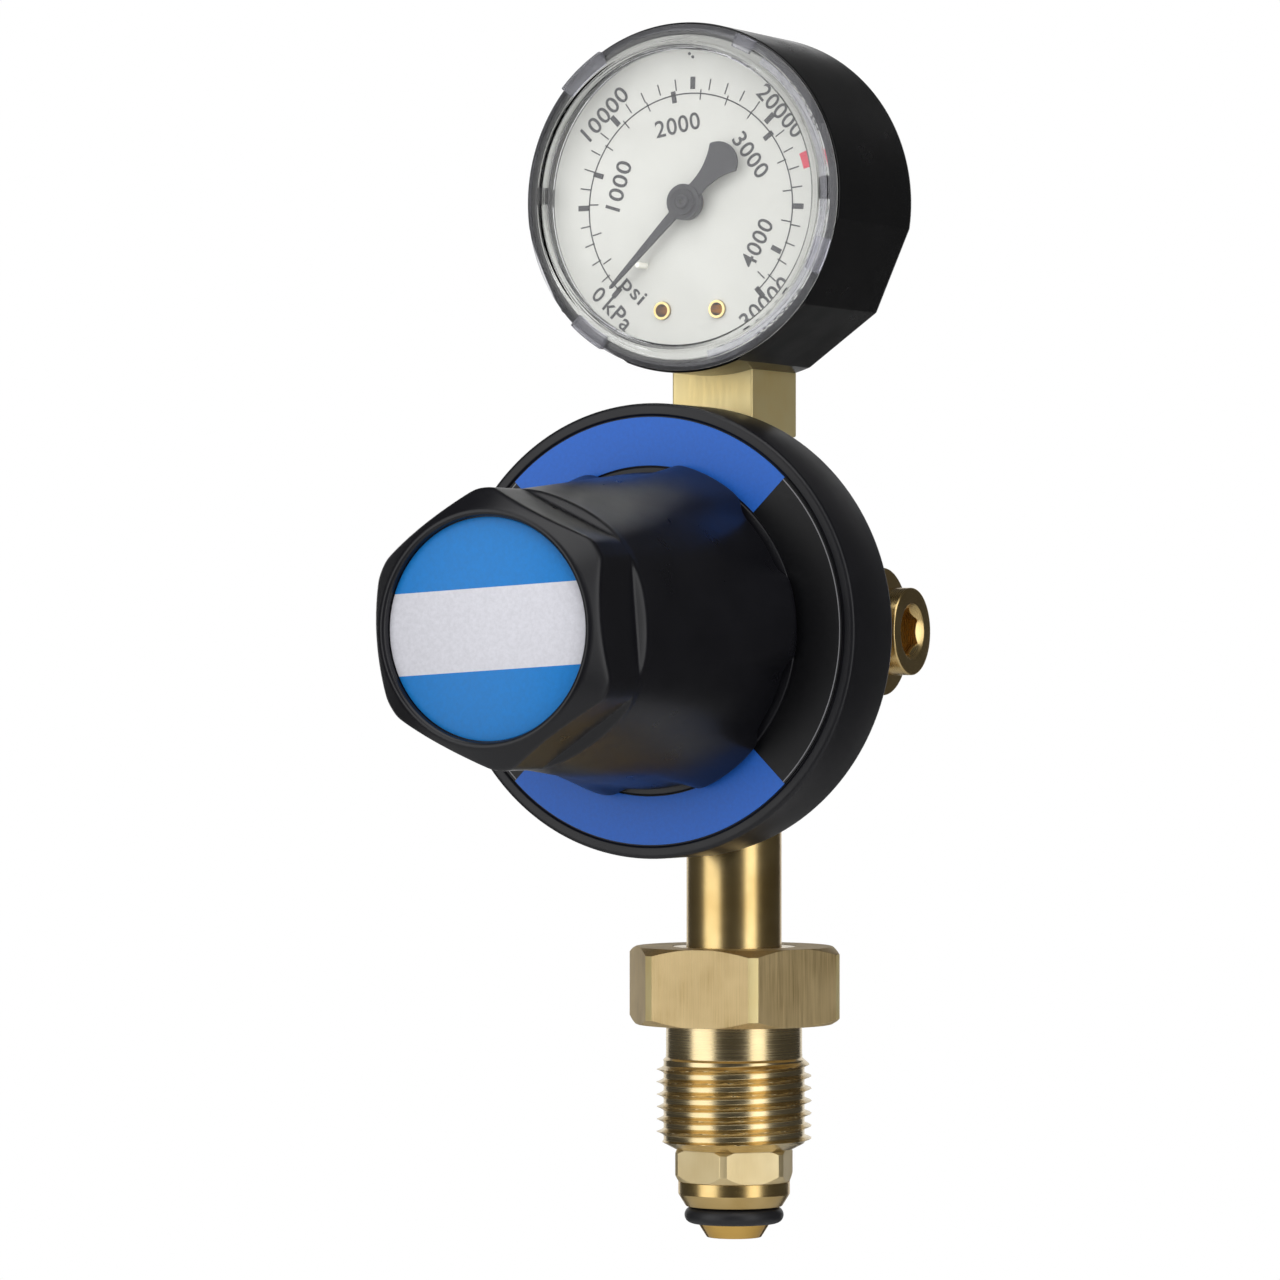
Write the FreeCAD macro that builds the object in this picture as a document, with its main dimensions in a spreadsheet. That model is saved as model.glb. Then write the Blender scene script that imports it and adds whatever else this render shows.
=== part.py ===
import FreeCAD, Part
import math
import os
import re
import Sketcher

# Gas cylinder regulator with a contents gauge, in millimetres.
# The origin is on the inlet stem's axis, at the lower end of the inlet nut's thread.
# +Z runs up the stem, the knob faces -Y, the outlet leaves along -X.
# Distances along Y are measured from the stem's axis, heights of the valve from the knob's axis.

Vector = FreeCAD.Vector
doc = FreeCAD.newDocument("ArgonRegulator")

# Driving dimensions: name, value, meaning
SIZES = [
    ("centre_height", "74", "knob axis above the lower end of the inlet thread"),
    ("gauge_gap", "4.75", "room between the gauge case and the flange under it"),
    ("thread_gap", "0.05", "radial room in a screwed joint"),
    ("running_gap", "0.06", "radial room of a turning fit"),
    ("face_gap", "0.05", "room between faces that bear on each other"),
    # bonnet
    ("flange_front", "-27.7", "front face of the bonnet's flange"),
    ("skirt_wall", "4.85", "wall of the bonnet's skirt"),
    ("flange_depth", "13", "length of the bonnet's skirt"),
    ("flange_round", "1.7", "fillet round the flange's front edge"),
    ("skirt_round", "0.6", "fillet round the skirt's rear edge"),
    ("skirt_thread_length", "6.5", "thread inside the skirt"),
    ("neck_radius", "15", "outside of the spring housing"),
    ("neck_setback", "14.2", "knob longer than the spring housing"),
    ("neck_wall", "2.8", "side wall of the spring housing"),
    ("neck_end_wall", "7", "threaded end wall of the spring housing"),
    ("flange_wall", "2.7", "thickness of the flange's front wall"),
    ("label_margin", "1.9", "flange outside the printed ring"),
    ("label_width", "7.1", "width of the printed ring"),
    ("label_thickness", "0.25", "printed labels"),
    ("label_recess", "0.35", "recess that takes a label"),
    # knob
    ("knob_gap", "1.1", "gap between the knob and the flange"),
    ("knob_length", "47.5", "knob from rim to rim"),
    ("knob_turn", "4.5", "angle of the knob's right-hand flat above level"),
    ("knob_flats", "34.7", "across the flats of the knob's front"),
    ("knob_waist_radius", "18.65", "round body just behind the middle of a flat"),
    ("knob_ridge_radius", "19.25", "round body just behind a hexagon corner"),
    ("knob_lobe_radius", "24.4", "lobes of the knob's rear rim"),
    ("knob_valley_radius", "22.5", "hollows of the knob's rear rim"),
    ("knob_grip_length", "11", "flats from the front rim to where they start to run out"),
    ("knob_runout", "1.7", "length over which a flat runs out"),
    ("knob_front_radius", "16.1", "front rim round the label"),
    ("knob_bevel", "3", "length of the bevel behind the front rim"),
    ("bevel_margin", "0.2", "round body beyond the bevel at its rear end"),
    ("knob_shoulder_length", "3", "second bevel, over which the lobes are left whole"),
    ("knob_shoulder_height", "1", "blank beyond the knob's lobes"),
    ("knob_rim_length", "1.4", "chamfer of the rear rim along the axis"),
    ("knob_rim_drop", "0.4", "chamfer of the rear rim under the lobes"),
    ("lobe_growth", "1.4", "how late the lobes swell towards the rear rim"),
    ("lobe_softness", "0.5", "sharpness of the round body"),
    ("lobe_sharpening", "2.8", "gain in sharpness towards the rear rim"),
    ("knob_wall_gap", "0.6", "room between the knob and the spring housing"),
    ("knob_front_wall", "8.4", "thickness of the knob's front wall"),
    ("knob_label_radius", "15.2", "printed disc on the knob"),
    ("knob_recess_depth", "1.4", "recess of the knob's front face"),
    ("disc_gap", "0.1", "room round the printed disc"),
    # adjusting screw and spring
    ("screw_radius", "5", "adjusting screw over its thread"),
    ("screw_head_flats", "17", "hexagon head moulded into the knob"),
    ("screw_head_height", "6", "height of that head"),
    ("screw_reach", "8.1", "screw beyond the housing's end wall"),
    ("screw_chamfer", "1", "chamfer of the screw's end"),
    ("button_radius", "11", "spring button"),
    ("button_thickness", "3", "rim of the spring button"),
    ("button_nose_radius", "7", "nose of the button inside the spring"),
    ("button_nose", "3", "length of that nose"),
    ("nose_taper", "0.6", "taper of the bosses that centre the spring"),
    ("spring_radius", "9.3", "main spring to the middle of the wire"),
    ("spring_wire", "2.4", "main spring wire"),
    ("spring_pitch", "4.12", "main spring pitch"),
    # diaphragm
    ("slip_ring_thickness", "1", "slip ring"),
    ("diaphragm_thickness", "1", "rubber diaphragm"),
    ("plate_thickness", "1.6", "diaphragm plate"),
    ("free_width", "9", "free width of the diaphragm round its plate"),
    ("plate_nose_radius", "7", "centring boss of the plate"),
    ("plate_nose", "2.5", "length of that boss"),
    ("rivet_radius", "2.5", "stub of the plate through the diaphragm"),
    ("rivet_reach", "1.6", "stub beyond the diaphragm"),
    ("washer_radius", "8", "diaphragm washer"),
    ("washer_thickness", "1", "diaphragm washer"),
    # body
    ("bowl_radius", "27.5", "outside of the bowl, over its thread"),
    ("bowl_wall", "5", "side wall of the bowl"),
    ("bowl_length", "11.2", "length of the bowl"),
    ("bowl_depth", "7.7", "depth of the bowl"),
    ("hub_back", "12", "rear face of the hub"),
    ("chamber_radius", "6", "high pressure chamber"),
    ("chamber_front", "-4.5", "front wall of the high pressure chamber"),
    ("boss_radius", "9.2", "side bosses"),
    ("boss_setback", "3.5", "plugged side boss short of the bowl's outside"),
    ("bowl_clearance", "0.3", "outlet's side boss beyond the bowl"),
    ("post_radius", "9", "upper and lower bosses"),
    ("lower_setback", "1", "lower boss short of the bowl's outside"),
    ("upper_setback", "1.5", "upper boss short of the bowl's outside"),
    ("passage_radius", "1.6", "drilled gas passages"),
    ("passage_place", "13.4", "low pressure passages out from the middle"),
    ("low_bore_end", "3.5", "outlet bore beyond the passage"),
    ("drill_run", "3", "plug port beyond the plug"),
    ("overrun", "1", "cutting tools beyond the face they cut"),
    # valve
    ("nozzle_radius", "4.5", "threaded shank of the valve nozzle"),
    ("nozzle_flats", "11", "hexagon of the valve nozzle"),
    ("nozzle_head", "2.6", "height of that hexagon"),
    ("orifice_radius", "1.5", "orifice of the nozzle"),
    ("lip_height", "0.7", "seat lip"),
    ("lip_radius", "2.5", "outside of the seat lip"),
    ("lip_width", "0.3", "flat of the seat lip"),
    ("pin_radius", "0.9", "push pin of the valve stem"),
    ("poppet_radius", "4", "head of the valve stem"),
    ("poppet_length", "3.6", "head of the valve stem"),
    ("seat_disc_radius", "3.1", "soft seat disc"),
    ("seat_disc_thickness", "1.2", "soft seat disc"),
    ("valve_lift", "0.8", "travel of the valve"),
    ("valve_spring_radius", "3", "valve spring to the middle of the wire"),
    ("valve_spring_wire", "0.8", "valve spring wire"),
    ("valve_spring_turns", "3.5", "valve spring turns"),
    ("cap_flats", "19", "hexagon of the rear cap"),
    ("cap_head", "7", "height of that hexagon"),
    ("cap_plug", "4.5", "length of the plug in the body"),
    ("seal_setback", "1", "cap's O-ring groove under its shoulder"),
    ("cap_chamfer", "1.2", "chamfer of the hexagon along the axis"),
    ("cap_shoulder", "1", "chamfer under the hexagon along the axis"),
    ("chamfer_inset", "0.3", "turned faces inside the flats of a hexagon"),
    ("cap_seal_wire", "1.6", "section of the rear cap's O-ring"),
    # relief valve
    ("relief_radius", "4.5", "barrel of the relief valve"),
    ("relief_length", "13", "barrel of the relief valve"),
    ("relief_room", "0.723", "room between the relief valve and the hub"),
    ("relief_wall", "1.3", "wall of that barrel"),
    ("relief_shank_radius", "3", "threaded shank of the relief valve"),
    ("relief_seat", "2", "thickness of the barrel's floor"),
    ("relief_disc_thickness", "1.4", "relief valve disc"),
    ("relief_disc_gap", "0.3", "room round that disc"),
    ("relief_pip", "1", "boss that centres the relief spring"),
    ("relief_shank_gap", "0.3", "shank's end short of the bowl's floor"),
    ("relief_cap_length", "2", "cap screwed into the barrel"),
    ("relief_vent_radius", "0.9", "bores of the relief valve"),
    ("relief_spring_radius", "2.1", "relief spring to the middle of the wire"),
    ("relief_spring_wire", "0.6", "relief spring wire"),
    ("relief_spring_turns", "5", "relief spring turns"),
    # outlet and plug
    ("outlet_hex_flats", "19", "hexagon of the outlet fitting"),
    ("outlet_hex_length", "6.5", "hexagon of the outlet fitting"),
    ("outlet_chamfer", "1", "chamfers of the outlet fitting along the axis"),
    ("outlet_thread_chamfer", "0.8", "chamfer of the outlet thread"),
    ("outlet_shank_radius", "6.5", "shank in the body"),
    ("outlet_shank_length", "10", "shank in the body"),
    ("outlet_relief_radius", "6.8", "thread run-out"),
    ("outlet_relief_length", "1.2", "thread run-out"),
    ("outlet_thread_radius", "7.94", "5/8 inch UNF outlet thread"),
    ("outlet_thread_length", "13.5", "outlet thread"),
    ("outlet_bore", "4", "bore of the outlet"),
    ("outlet_mouth_radius", "5.8", "conical seat in the outlet's mouth"),
    ("outlet_mouth_depth", "2", "depth of that seat"),
    ("plug_radius", "6.3", "head of the port plug"),
    ("plug_head", "4.7", "height of that head"),
    ("plug_underside", "0.5", "chamfer under the plug's head"),
    ("plug_underside_length", "0.9", "its length along the axis"),
    ("plug_mouth_depth", "1.1", "chamfer of the socket's mouth along the axis"),
    ("plug_shank_radius", "5", "threaded shank of the port plug"),
    ("plug_shank_length", "8", "threaded shank of the port plug"),
    ("plug_socket_flats", "6", "hexagon socket of the port plug"),
    ("plug_socket_depth", "5", "depth of that socket"),
    ("plug_socket_mouth", "4.1", "radius of the socket's chamfered mouth"),
    ("plug_seal_wire", "1.2", "section of the plug's O-ring"),
    # inlet
    ("stem_radius", "6.95", "inlet stem"),
    ("stem_bore", "2.5", "bore of the inlet stem"),
    ("stem_seat", "13.2", "top end of the stem under the knob axis"),
    ("filter_radius", "4.1", "inlet filter"),
    ("filter_bore", "2.6", "inside of the filter"),
    ("filter_length", "9.5", "inlet filter"),
    ("filter_end", "1.5", "closed end of the filter"),
    ("nut_flats", "28.6", "across the flats of the inlet nut"),
    ("nut_corner_radius", "16.1", "turned corners of the inlet nut"),
    ("nut_height", "11.3", "hexagon of the inlet nut"),
    ("nut_chamfer", "1.7", "chamfer of those corners along the radius"),
    ("nut_turn", "6.1", "angle of a corner of the nut"),
    ("collar_radius", "9.95", "collar under the hexagon"),
    ("collar_length", "5.1", "collar under the hexagon"),
    ("thread_radius", "11.38", "5/8 inch BSP inlet thread over its crests"),
    ("thread_length", "11.7", "inlet thread"),
    ("thread_runout", "0.8", "chamfer above the inlet thread"),
    ("thread_lead", "1.4", "chamfered end of the nut beyond its thread"),
    ("thread_lead_radius", "8.75", "end face of the nut"),
    ("nipple_flats", "16", "hexagon of the nipple"),
    ("nipple_corner_radius", "8.95", "turned corners of the nipple"),
    ("nipple_height", "4.8", "hexagon of the nipple"),
    ("nipple_top_inset", "0.4", "chamfer at the top of the nipple"),
    ("nipple_top_chamfer", "0.5", "its length along the axis"),
    ("nipple_chamfer", "0.7", "chamfer under the nipple along the axis"),
    ("nipple_turn", "46", "angle of a corner of the nipple"),
    ("nose_radius", "8.17", "round part under the nipple's hexagon"),
    ("nose_length", "1.7", "round part under the nipple's hexagon"),
    ("nose_cone_length", "1.8", "cone above the O-ring"),
    ("nose_cone_radius", "7.05", "small end of that cone"),
    ("groove_radius", "4.85", "bottom of the O-ring groove"),
    ("o_ring_wire", "2.4", "section of the inlet O-ring"),
    ("tip_radius", "5.3", "lip under the O-ring"),
    ("tip_end_radius", "4", "end of the nose"),
    ("tip_length", "2.1", "cone of the nose's end"),
    # gauge
    ("case_radius", "25.2", "outside of the gauge case"),
    ("case_scale", "25.2", "case radius for which the works are sized"),
    ("case_front", "-17.1", "front edge of the gauge case"),
    ("case_back", "8", "rear face of the gauge case"),
    ("case_wall", "1.8", "side wall of the case"),
    ("case_floor", "2.2", "rear wall of the case"),
    ("case_ledge", "1.3", "ledge that carries the dial"),
    ("case_round", "1", "fillet round the rear edge"),
    ("case_flat_start", "8.6", "angle below level where the lower flats start"),
    ("case_flat_turn", "30.4", "angle that each lower flat spans"),
    ("lens_thickness", "1.2", "front wall of the clear cap"),
    ("lens_inset", "0.3", "clear cap inside the outside of the case"),
    ("lens_chamfer", "0.4", "chamfer of the cap's front edge"),
    ("lens_skirt_wall", "1.1", "wall of the cap's inner skirt"),
    ("dial_front", "-13.9", "face of the dial"),
    ("dial_thickness", "0.6", "dial plate"),
    ("dial_gap", "0.1", "room round the dial and the cap's skirt"),
    ("dial_hole", "2.2", "hole in the middle of the dial"),
    ("movement_drop", "0.6", "pointer axis under the axis of the case"),
    ("block_width", "13", "gauge socket across"),
    ("block_front", "-7.2", "front face of the gauge socket"),
    ("block_depth", "14.8", "gauge socket front to back"),
    ("block_start", "28.6", "bottom of the gauge socket over the knob axis"),
    ("block_chamfer", "0.5", "chamfer of the block's lower corners"),
    ("block_gap", "0.1", "room between the socket and the case"),
    ("stub_radius", "6.6", "screwed stub of the gauge socket"),
    ("stub_length", "12", "screwed stub of the gauge socket"),
    ("stub_chamfer", "1", "chamfer of the stub's end"),
    ("stub_gap", "0.3", "stub's end over the bottom of its port"),
    ("eyelet_radius", "1.3", "dial rivets"),
    ("eyelet_bore", "0.95", "dial rivets"),
    ("rivet_depth", "1.5", "blind end of a dial rivet"),
    ("eyelet_proud", "0.4", "dial rivets in front of the dial"),
    ("stop_radius", "0.45", "pointer stop pin"),
    ("stop_turn", "129.2", "angle of the stop pin below level on the left"),
    ("stop_setback", "0.3", "stop pin's end behind the pointer's front"),
    ("stop_chamfer", "0.3", "chamfer of the stop pin along the axis"),
    ("stop_tip_inset", "0.12", "chamfer of the stop pin along the radius"),
    ("pointer_front", "-16.8", "front of the pointer's hub"),
    ("hub_radius_small", "1.9", "raised middle of the pointer's hub"),
    ("hub_radius_large", "2.6", "pointer's hub"),
    ("hub_step", "0.5", "height of the raised middle"),
    ("hub_height", "1.5", "height of the hub under that"),
    ("dimple_depth", "0.4", "dimple in the hub's front"),
    ("blade_setback", "0.35", "blade behind the hub's step"),
    ("blade_half_width", "0.75", "half the blade's width at the hub"),
    ("neck_half_width", "1.15", "half the tail's width at the hub"),
    ("waist_half_width", "1.45", "half the tail's width midway"),
    ("waist_shift", "0.5", "shift of the tail's waist towards the hub"),
    ("neck_place", "0.9", "start of the tail outside the hub"),
    ("tip_point", "0.3", "length of the blade's point"),
    ("blade_thickness", "0.4", "pointer blade"),
    ("blade_tip_half_width", "0.22", "half the blade's width at the tip"),
    ("pointer_rest", "225", "angle of the pointer at zero"),
    # movement
    ("arbor_radius", "0.55", "pointer arbor"),
    ("pinion_teeth", "10", "teeth of the pinion"),
    ("sector_teeth", "80", "teeth that a whole sector wheel would have"),
    ("tooth_share", "0.44", "tooth thickness as a share of the tooth pitch"),
    ("sector_thickness", "0.9", "sector gear"),
    ("pinion_overhang", "0.4", "pinion beyond the sector gear on each side"),
    ("arbor_overhang", "0.4", "arbor beyond the rear plate"),
    ("arbor_setback", "0.1", "arbor's end behind the hub's step"),
    ("pivot_overhang", "0.3", "sector's arbor beyond the plates"),
    ("sector_hub_radius", "1.5", "sector gear's hub"),
    ("arm_boss_radius", "1.05", "eye of the sector's arm"),
    ("arm_half_width", "0.9", "half the width of the sector's arm"),
    ("rim_width", "1.4", "sector gear's rim under the teeth"),
    ("window_start", "3.2", "window of the sector gear from its axis"),
    ("pinion_tip_share", "0.3", "pinion tooth's tip as a share of its base"),
    ("sector_tip_share", "0.45", "sector tooth's tip as a share of its base"),
    ("spare_teeth", "2", "sector teeth beyond the sweep at each end"),
    ("pointer_span", "270", "angle of the whole scale"),
    ("gear_share", "0.52", "gears from the front plate as a share of the room"),
    ("plate_front", "-12.3", "front face of the movement's front plate"),
    ("plate_sheet", "0.8", "movement plates"),
    ("plate_spacing", "4.5", "room between the movement plates"),
    ("pillar_radius", "1.1", "pillars between the plates"),
    ("link_turn", "107", "angle of that arm at rest"),
    ("link_thickness", "0.6", "link"),
    ("link_half_width", "1", "half the link's width"),
    ("link_pin_radius", "0.5", "pins of the link"),
    ("pin_overhang", "0.3", "link's pins beyond what they hold"),
    ("pin_root", "0.2", "link's pin inside the link"),
    ("tube_half_width", "2.9", "half the long axis of the tube's section"),
    ("tube_half_height", "1.15", "half the short axis of the tube's section"),
    ("tube_wall", "0.4", "wall of the bourdon tube"),
    ("tube_start", "74", "start of the tube below level on the right"),
    ("tube_span", "272", "angle that the tube spans"),
    ("tip_size", "3.2", "end piece of the tube"),
    ("hairspring_turns", "4", "hairspring"),
    ("hairspring_width", "0.12", "hairspring strip"),
    ("hairspring_height", "0.4", "hairspring strip"),
    ("hairspring_level", "0.6", "hairspring behind the front plate"),
    ("vent_radius", "3", "blow-out plug in the rear of the case"),
    ("vent_lip", "0.8", "lip of that plug"),
    ("vent_depth", "0.8", "plug inside the case wall"),
    ("vent_proud", "0.9", "plug behind the case"),
    ("vent_lip_thickness", "0.5", "lip of that plug"),
    # works of the gauge, sized for a case of the radius case_scale
    ("full_block_top", "13.4", "top of the gauge socket under the pointer axis"),
    ("full_eyelet_place", "4.45", "dial rivets out from the middle"),
    ("full_eyelet_drop", "15.5", "dial rivets under the pointer axis"),
    ("full_stop_place", "11.5", "pointer stop from the pointer axis"),
    ("full_pointer_reach", "17.2", "tip of the pointer"),
    ("full_pointer_tail", "10.8", "tail of the pointer"),
    ("full_tail_half_width", "2.9", "half the tail's width"),
    ("full_tail_corner", "8.8", "corners of the tail from the axis"),
    ("full_gear_module", "0.25", "module of the gear pair"),
    ("full_plate_half_width", "7.2", "half the width of the movement plates"),
    ("full_plate_over", "3.6", "plates above the pointer axis"),
    ("full_pillar_place", "5.9", "pillars out from the middle"),
    ("full_pillar_inset", "1.4", "pillars in from the plate's upper and lower edges"),
    ("full_link_arm", "3.6", "sector pivot to the link's pin"),
    ("full_tube_radius", "17", "bourdon tube to the middle of its section"),
    ("full_hairspring_inner", "1.1", "inside of the hairspring"),
    ("full_hairspring_outer", "4", "outside of the hairspring"),
    ("full_vent_height", "15.5", "blow-out plug over the axis of the case"),
]

# Works that grow and shrink with the gauge case
WITH_THE_CASE = (
    "block_top", "eyelet_place", "eyelet_drop", "stop_place", "pointer_reach", "pointer_tail",
    "tail_half_width", "tail_corner", "gear_module", "plate_half_width", "plate_over", "pillar_place",
    "pillar_inset", "link_arm", "tube_radius", "hairspring_inner", "hairspring_outer", "vent_height",
)

# Places that follow from the driving dimensions
WORKED_OUT = [
    ("gauge_share", "=case_radius / case_scale"),
    *((alias, f"=full_{alias} * gauge_share") for alias in WITH_THE_CASE),
    ("flange_radius", "=bowl_radius + thread_gap + skirt_wall"),
    ("label_outer", "=flange_radius - label_margin"),
    ("label_inner", "=label_outer - label_width"),
    ("neck_length", "=knob_length - neck_setback"),
    ("spring_room_radius", "=neck_radius - neck_wall"),
    ("bowl_inner", "=bowl_radius - bowl_wall"),
    ("slip_ring_inner", "=bowl_inner"),
    ("plate_radius", "=bowl_inner - free_width"),
    ("hub_radius", "=bowl_radius * 6 / 11"),
    ("outlet_boss_reach", "=bowl_radius + bowl_clearance"),
    ("boss_reach", "=bowl_radius - boss_setback"),
    ("lower_reach", "=bowl_radius - lower_setback"),
    ("upper_reach", "=bowl_radius - upper_setback"),
    ("relief_place",
     "=max((hub_radius + relief_radius + relief_room) / sqrt(2); boss_radius + relief_radius + thread_gap)"),
    ("gauge_height", "=flange_radius + gauge_gap + case_radius"),
    ("lens_radius", "=case_radius - lens_inset"),
    ("tooth_height", "=0.8 * gear_module"),
    ("tooth_root", "=1.28 * gear_module"),
    ("flange_back", "=flange_front + flange_depth"),
    ("shoulder", "=flange_back - skirt_thread_length"),
    ("skirt_bore", "=bowl_radius + thread_gap"),
    ("neck_front", "=flange_front - neck_length"),
    ("spring_room_front", "=neck_front + neck_end_wall"),
    ("spring_room_back", "=flange_front + flange_wall"),
    ("screw_bore", "=screw_radius + running_gap"),
    ("knob_rear", "=flange_front - knob_gap"),
    ("knob_front", "=knob_rear - knob_length"),
    ("knob_floor", "=knob_front + knob_recess_depth"),
    ("knob_web", "=knob_floor + knob_front_wall"),
    ("knob_bore", "=neck_radius + knob_wall_gap"),
    ("screw_head_front", "=knob_web - screw_head_height"),
    ("screw_tip", "=spring_room_front + screw_reach"),
    ("button_front", "=screw_tip + face_gap"),
    ("button_back", "=button_front + button_thickness"),
    ("diaphragm_front", "=shoulder + slip_ring_thickness"),
    ("body_front", "=diaphragm_front + diaphragm_thickness"),
    ("plate_face", "=diaphragm_front - plate_thickness"),
    ("spring_height", "=plate_face - button_back - 2 * face_gap - spring_wire"),
    ("spring_turns", "=spring_height / spring_pitch"),
    ("rivet_end", "=body_front + rivet_reach"),
    ("bowl_back", "=body_front + bowl_length"),
    ("bowl_floor", "=body_front + bowl_depth"),
    ("lip_end", "=chamber_front + lip_height"),
    ("poppet_front", "=lip_end + face_gap"),
    ("poppet_back", "=poppet_front + poppet_length"),
    ("cap_plug_front", "=hub_back - cap_plug"),
    ("valve_spring_height", "=cap_plug_front - poppet_back - 2 * face_gap - valve_spring_wire"),
    ("relief_floor", "=bowl_back + relief_seat"),
    ("relief_back", "=bowl_back + relief_length"),
    ("relief_bore", "=relief_radius - relief_wall"),
    ("relief_cap_front", "=relief_back - relief_cap_length"),
    ("relief_disc_back", "=relief_floor + face_gap + relief_disc_thickness"),
    ("relief_spring_height",
     "=relief_cap_front - relief_disc_back - 2 * face_gap - relief_spring_wire"),
    ("outlet_shoulder", "=outlet_boss_reach + outlet_hex_length"),
    ("outlet_thread_start", "=outlet_shoulder + outlet_relief_length"),
    ("outlet_end", "=outlet_thread_start + outlet_thread_length"),
    ("outlet_shank_end", "=outlet_boss_reach - outlet_shank_length"),
    ("plug_face", "=boss_reach + plug_head"),
    ("plug_shank_end", "=boss_reach - plug_shank_length"),
    ("plug_seal_radius", "=plug_shank_radius + thread_gap + plug_seal_wire / 2"),
    ("collar_top", "=thread_length + collar_length"),
    ("nut_top", "=collar_top + nut_height"),
    ("nut_bore", "=stem_radius + running_gap"),
    ("nipple_top", "=0 - thread_lead - face_gap"),
    ("nipple_bottom", "=nipple_top - nipple_height"),
    ("nose_bottom", "=nipple_bottom - nose_length"),
    ("cone_bottom", "=nose_bottom - nose_cone_length"),
    ("groove_bottom", "=cone_bottom - o_ring_wire - 2 * face_gap"),
    ("tip_bottom", "=groove_bottom - tip_length"),
    ("stem_top", "=centre_height - stem_seat"),
    ("filter_top", "=stem_top - face_gap"),
    ("filter_bottom", "=filter_top - filter_length"),
    ("gauge_axis", "=centre_height + gauge_height"),
    ("pointer_axis", "=gauge_axis - movement_drop"),
    ("case_bore", "=case_radius - case_wall"),
    ("dial_back", "=dial_front + dial_thickness"),
    ("dial_radius", "=case_bore - dial_gap"),
    ("lens_front", "=case_front - lens_thickness"),
    ("block_bottom", "=centre_height + block_start"),
    ("block_end", "=pointer_axis - block_top"),
    ("block_middle", "=block_front + block_depth / 2"),
    ("hub_back_face", "=pointer_front + hub_step + hub_height"),
    ("plate_back", "=plate_front + plate_sheet"),
    ("rear_plate_front", "=plate_back + plate_spacing"),
    ("rear_plate_back", "=rear_plate_front + plate_sheet"),
    ("gear_middle", "=plate_back + plate_spacing * gear_share"),
    ("pinion_radius", "=gear_module * pinion_teeth / 2"),
    ("sector_radius", "=gear_module * sector_teeth / 2"),
    ("gear_centres", "=pinion_radius + sector_radius"),
    ("sector_axis", "=pointer_axis - gear_centres"),
    ("link_front", "=gear_middle + sector_thickness / 2 + face_gap"),
    ("link_back", "=link_front + link_thickness"),
]

sheet = doc.addObject("Spreadsheet::Sheet", "Sizes")
for row, (alias, value, meaning) in enumerate(SIZES, start=1):
    sheet.set(f"A{row}", meaning)
    sheet.set(f"B{row}", value)
    sheet.setAlias(f"B{row}", alias)
for row, (alias, formula) in enumerate(WORKED_OUT, start=len(SIZES) + 1):
    sheet.set(f"A{row}", alias.replace("_", " "))
    sheet.set(f"B{row}", formula)
    sheet.setAlias(f"B{row}", alias)
doc.recompute()

FUNCTIONS = ("sqrt", "cos", "sin", "tan")
UPRIGHT = {
    "X": FreeCAD.Rotation(Vector(0, 1, 0), 90),
    "Y": FreeCAD.Rotation(Vector(1, 0, 0), -90),
    "Z": FreeCAD.Rotation(),
}


def size(alias):
    """The value of one cell, for shapes that are worked out in code."""
    return float(sheet.get(alias))


def bound(text):
    """An expression of cell names, written the way a binding needs it."""
    def full(match):
        word = match.group()
        return word if word in FUNCTIONS else f"Sizes.{word}"
    return re.sub(r"[a-z_]+", full, text)


def place(thing, at):
    """Bind an object's position to three expressions."""
    for letter, text in zip("xyz", at):
        if text != "0":
            thing.setExpression(f"Placement.Base.{letter}", bound(text))


def feature(kind, name, sizes, axis="Z", at=("0", "0", "0"), twist=0):
    """A primitive whose sizes and position are bound, standing on the given axis."""
    thing = doc.addObject(kind, name)
    for key, text in sizes.items():
        thing.setExpression(key, bound(text))
    turned_by = FreeCAD.Rotation(Vector(0, 0, 1), twist)
    thing.Placement = FreeCAD.Placement(Vector(), UPRIGHT[axis].multiply(turned_by))
    place(thing, at)
    return thing


def cylinder(name, radius, length, axis, at):
    return feature("Part::Cylinder", name, {"Radius": radius, "Height": length}, axis, at)


def hexagon(name, flats, length, axis, at, twist=0):
    bar = feature("Part::Prism", name, {"Height": length}, axis, at, twist)
    bar.Polygon = 6
    bar.setExpression("Circumradius", bound(f"({flats}) / sqrt(3)"))
    return bar


def torus(name, radius, wire, axis, at):
    return feature("Part::Torus", name, {"Radius1": radius, "Radius2": wire}, axis, at)


def box(name, length, width, height, at):
    sizes = {"Length": length, "Width": width, "Height": height}
    return feature("Part::Box", name, sizes, "Z", at)


def cut(name, base, *tools):
    result = doc.addObject("Part::Cut", name)
    result.Base = base
    result.Tool = tools[0] if len(tools) == 1 else fuse(name + "_cuts", *tools)
    return result


def fuse(name, *things):
    result = doc.addObject("Part::MultiFuse", name)
    result.Shapes = list(things)
    return result


def common(name, one, other):
    result = doc.addObject("Part::MultiCommon", name)
    result.Shapes = [one, other]
    return result


def group(name, *things):
    result = doc.addObject("Part::Compound", name)
    result.Links = list(things)
    return result


def set_shape(name, shape, at=None):
    """A feature whose shape is worked out in code."""
    thing = doc.addObject("Part::Feature", name)
    thing.Shape = shape
    if at is not None:
        thing.Placement = FreeCAD.Placement(at, FreeCAD.Rotation())
    return thing


def origin_plane(body, role):
    return [part for part in body.Origin.OriginFeatures if part.Role == role][0]


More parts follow.
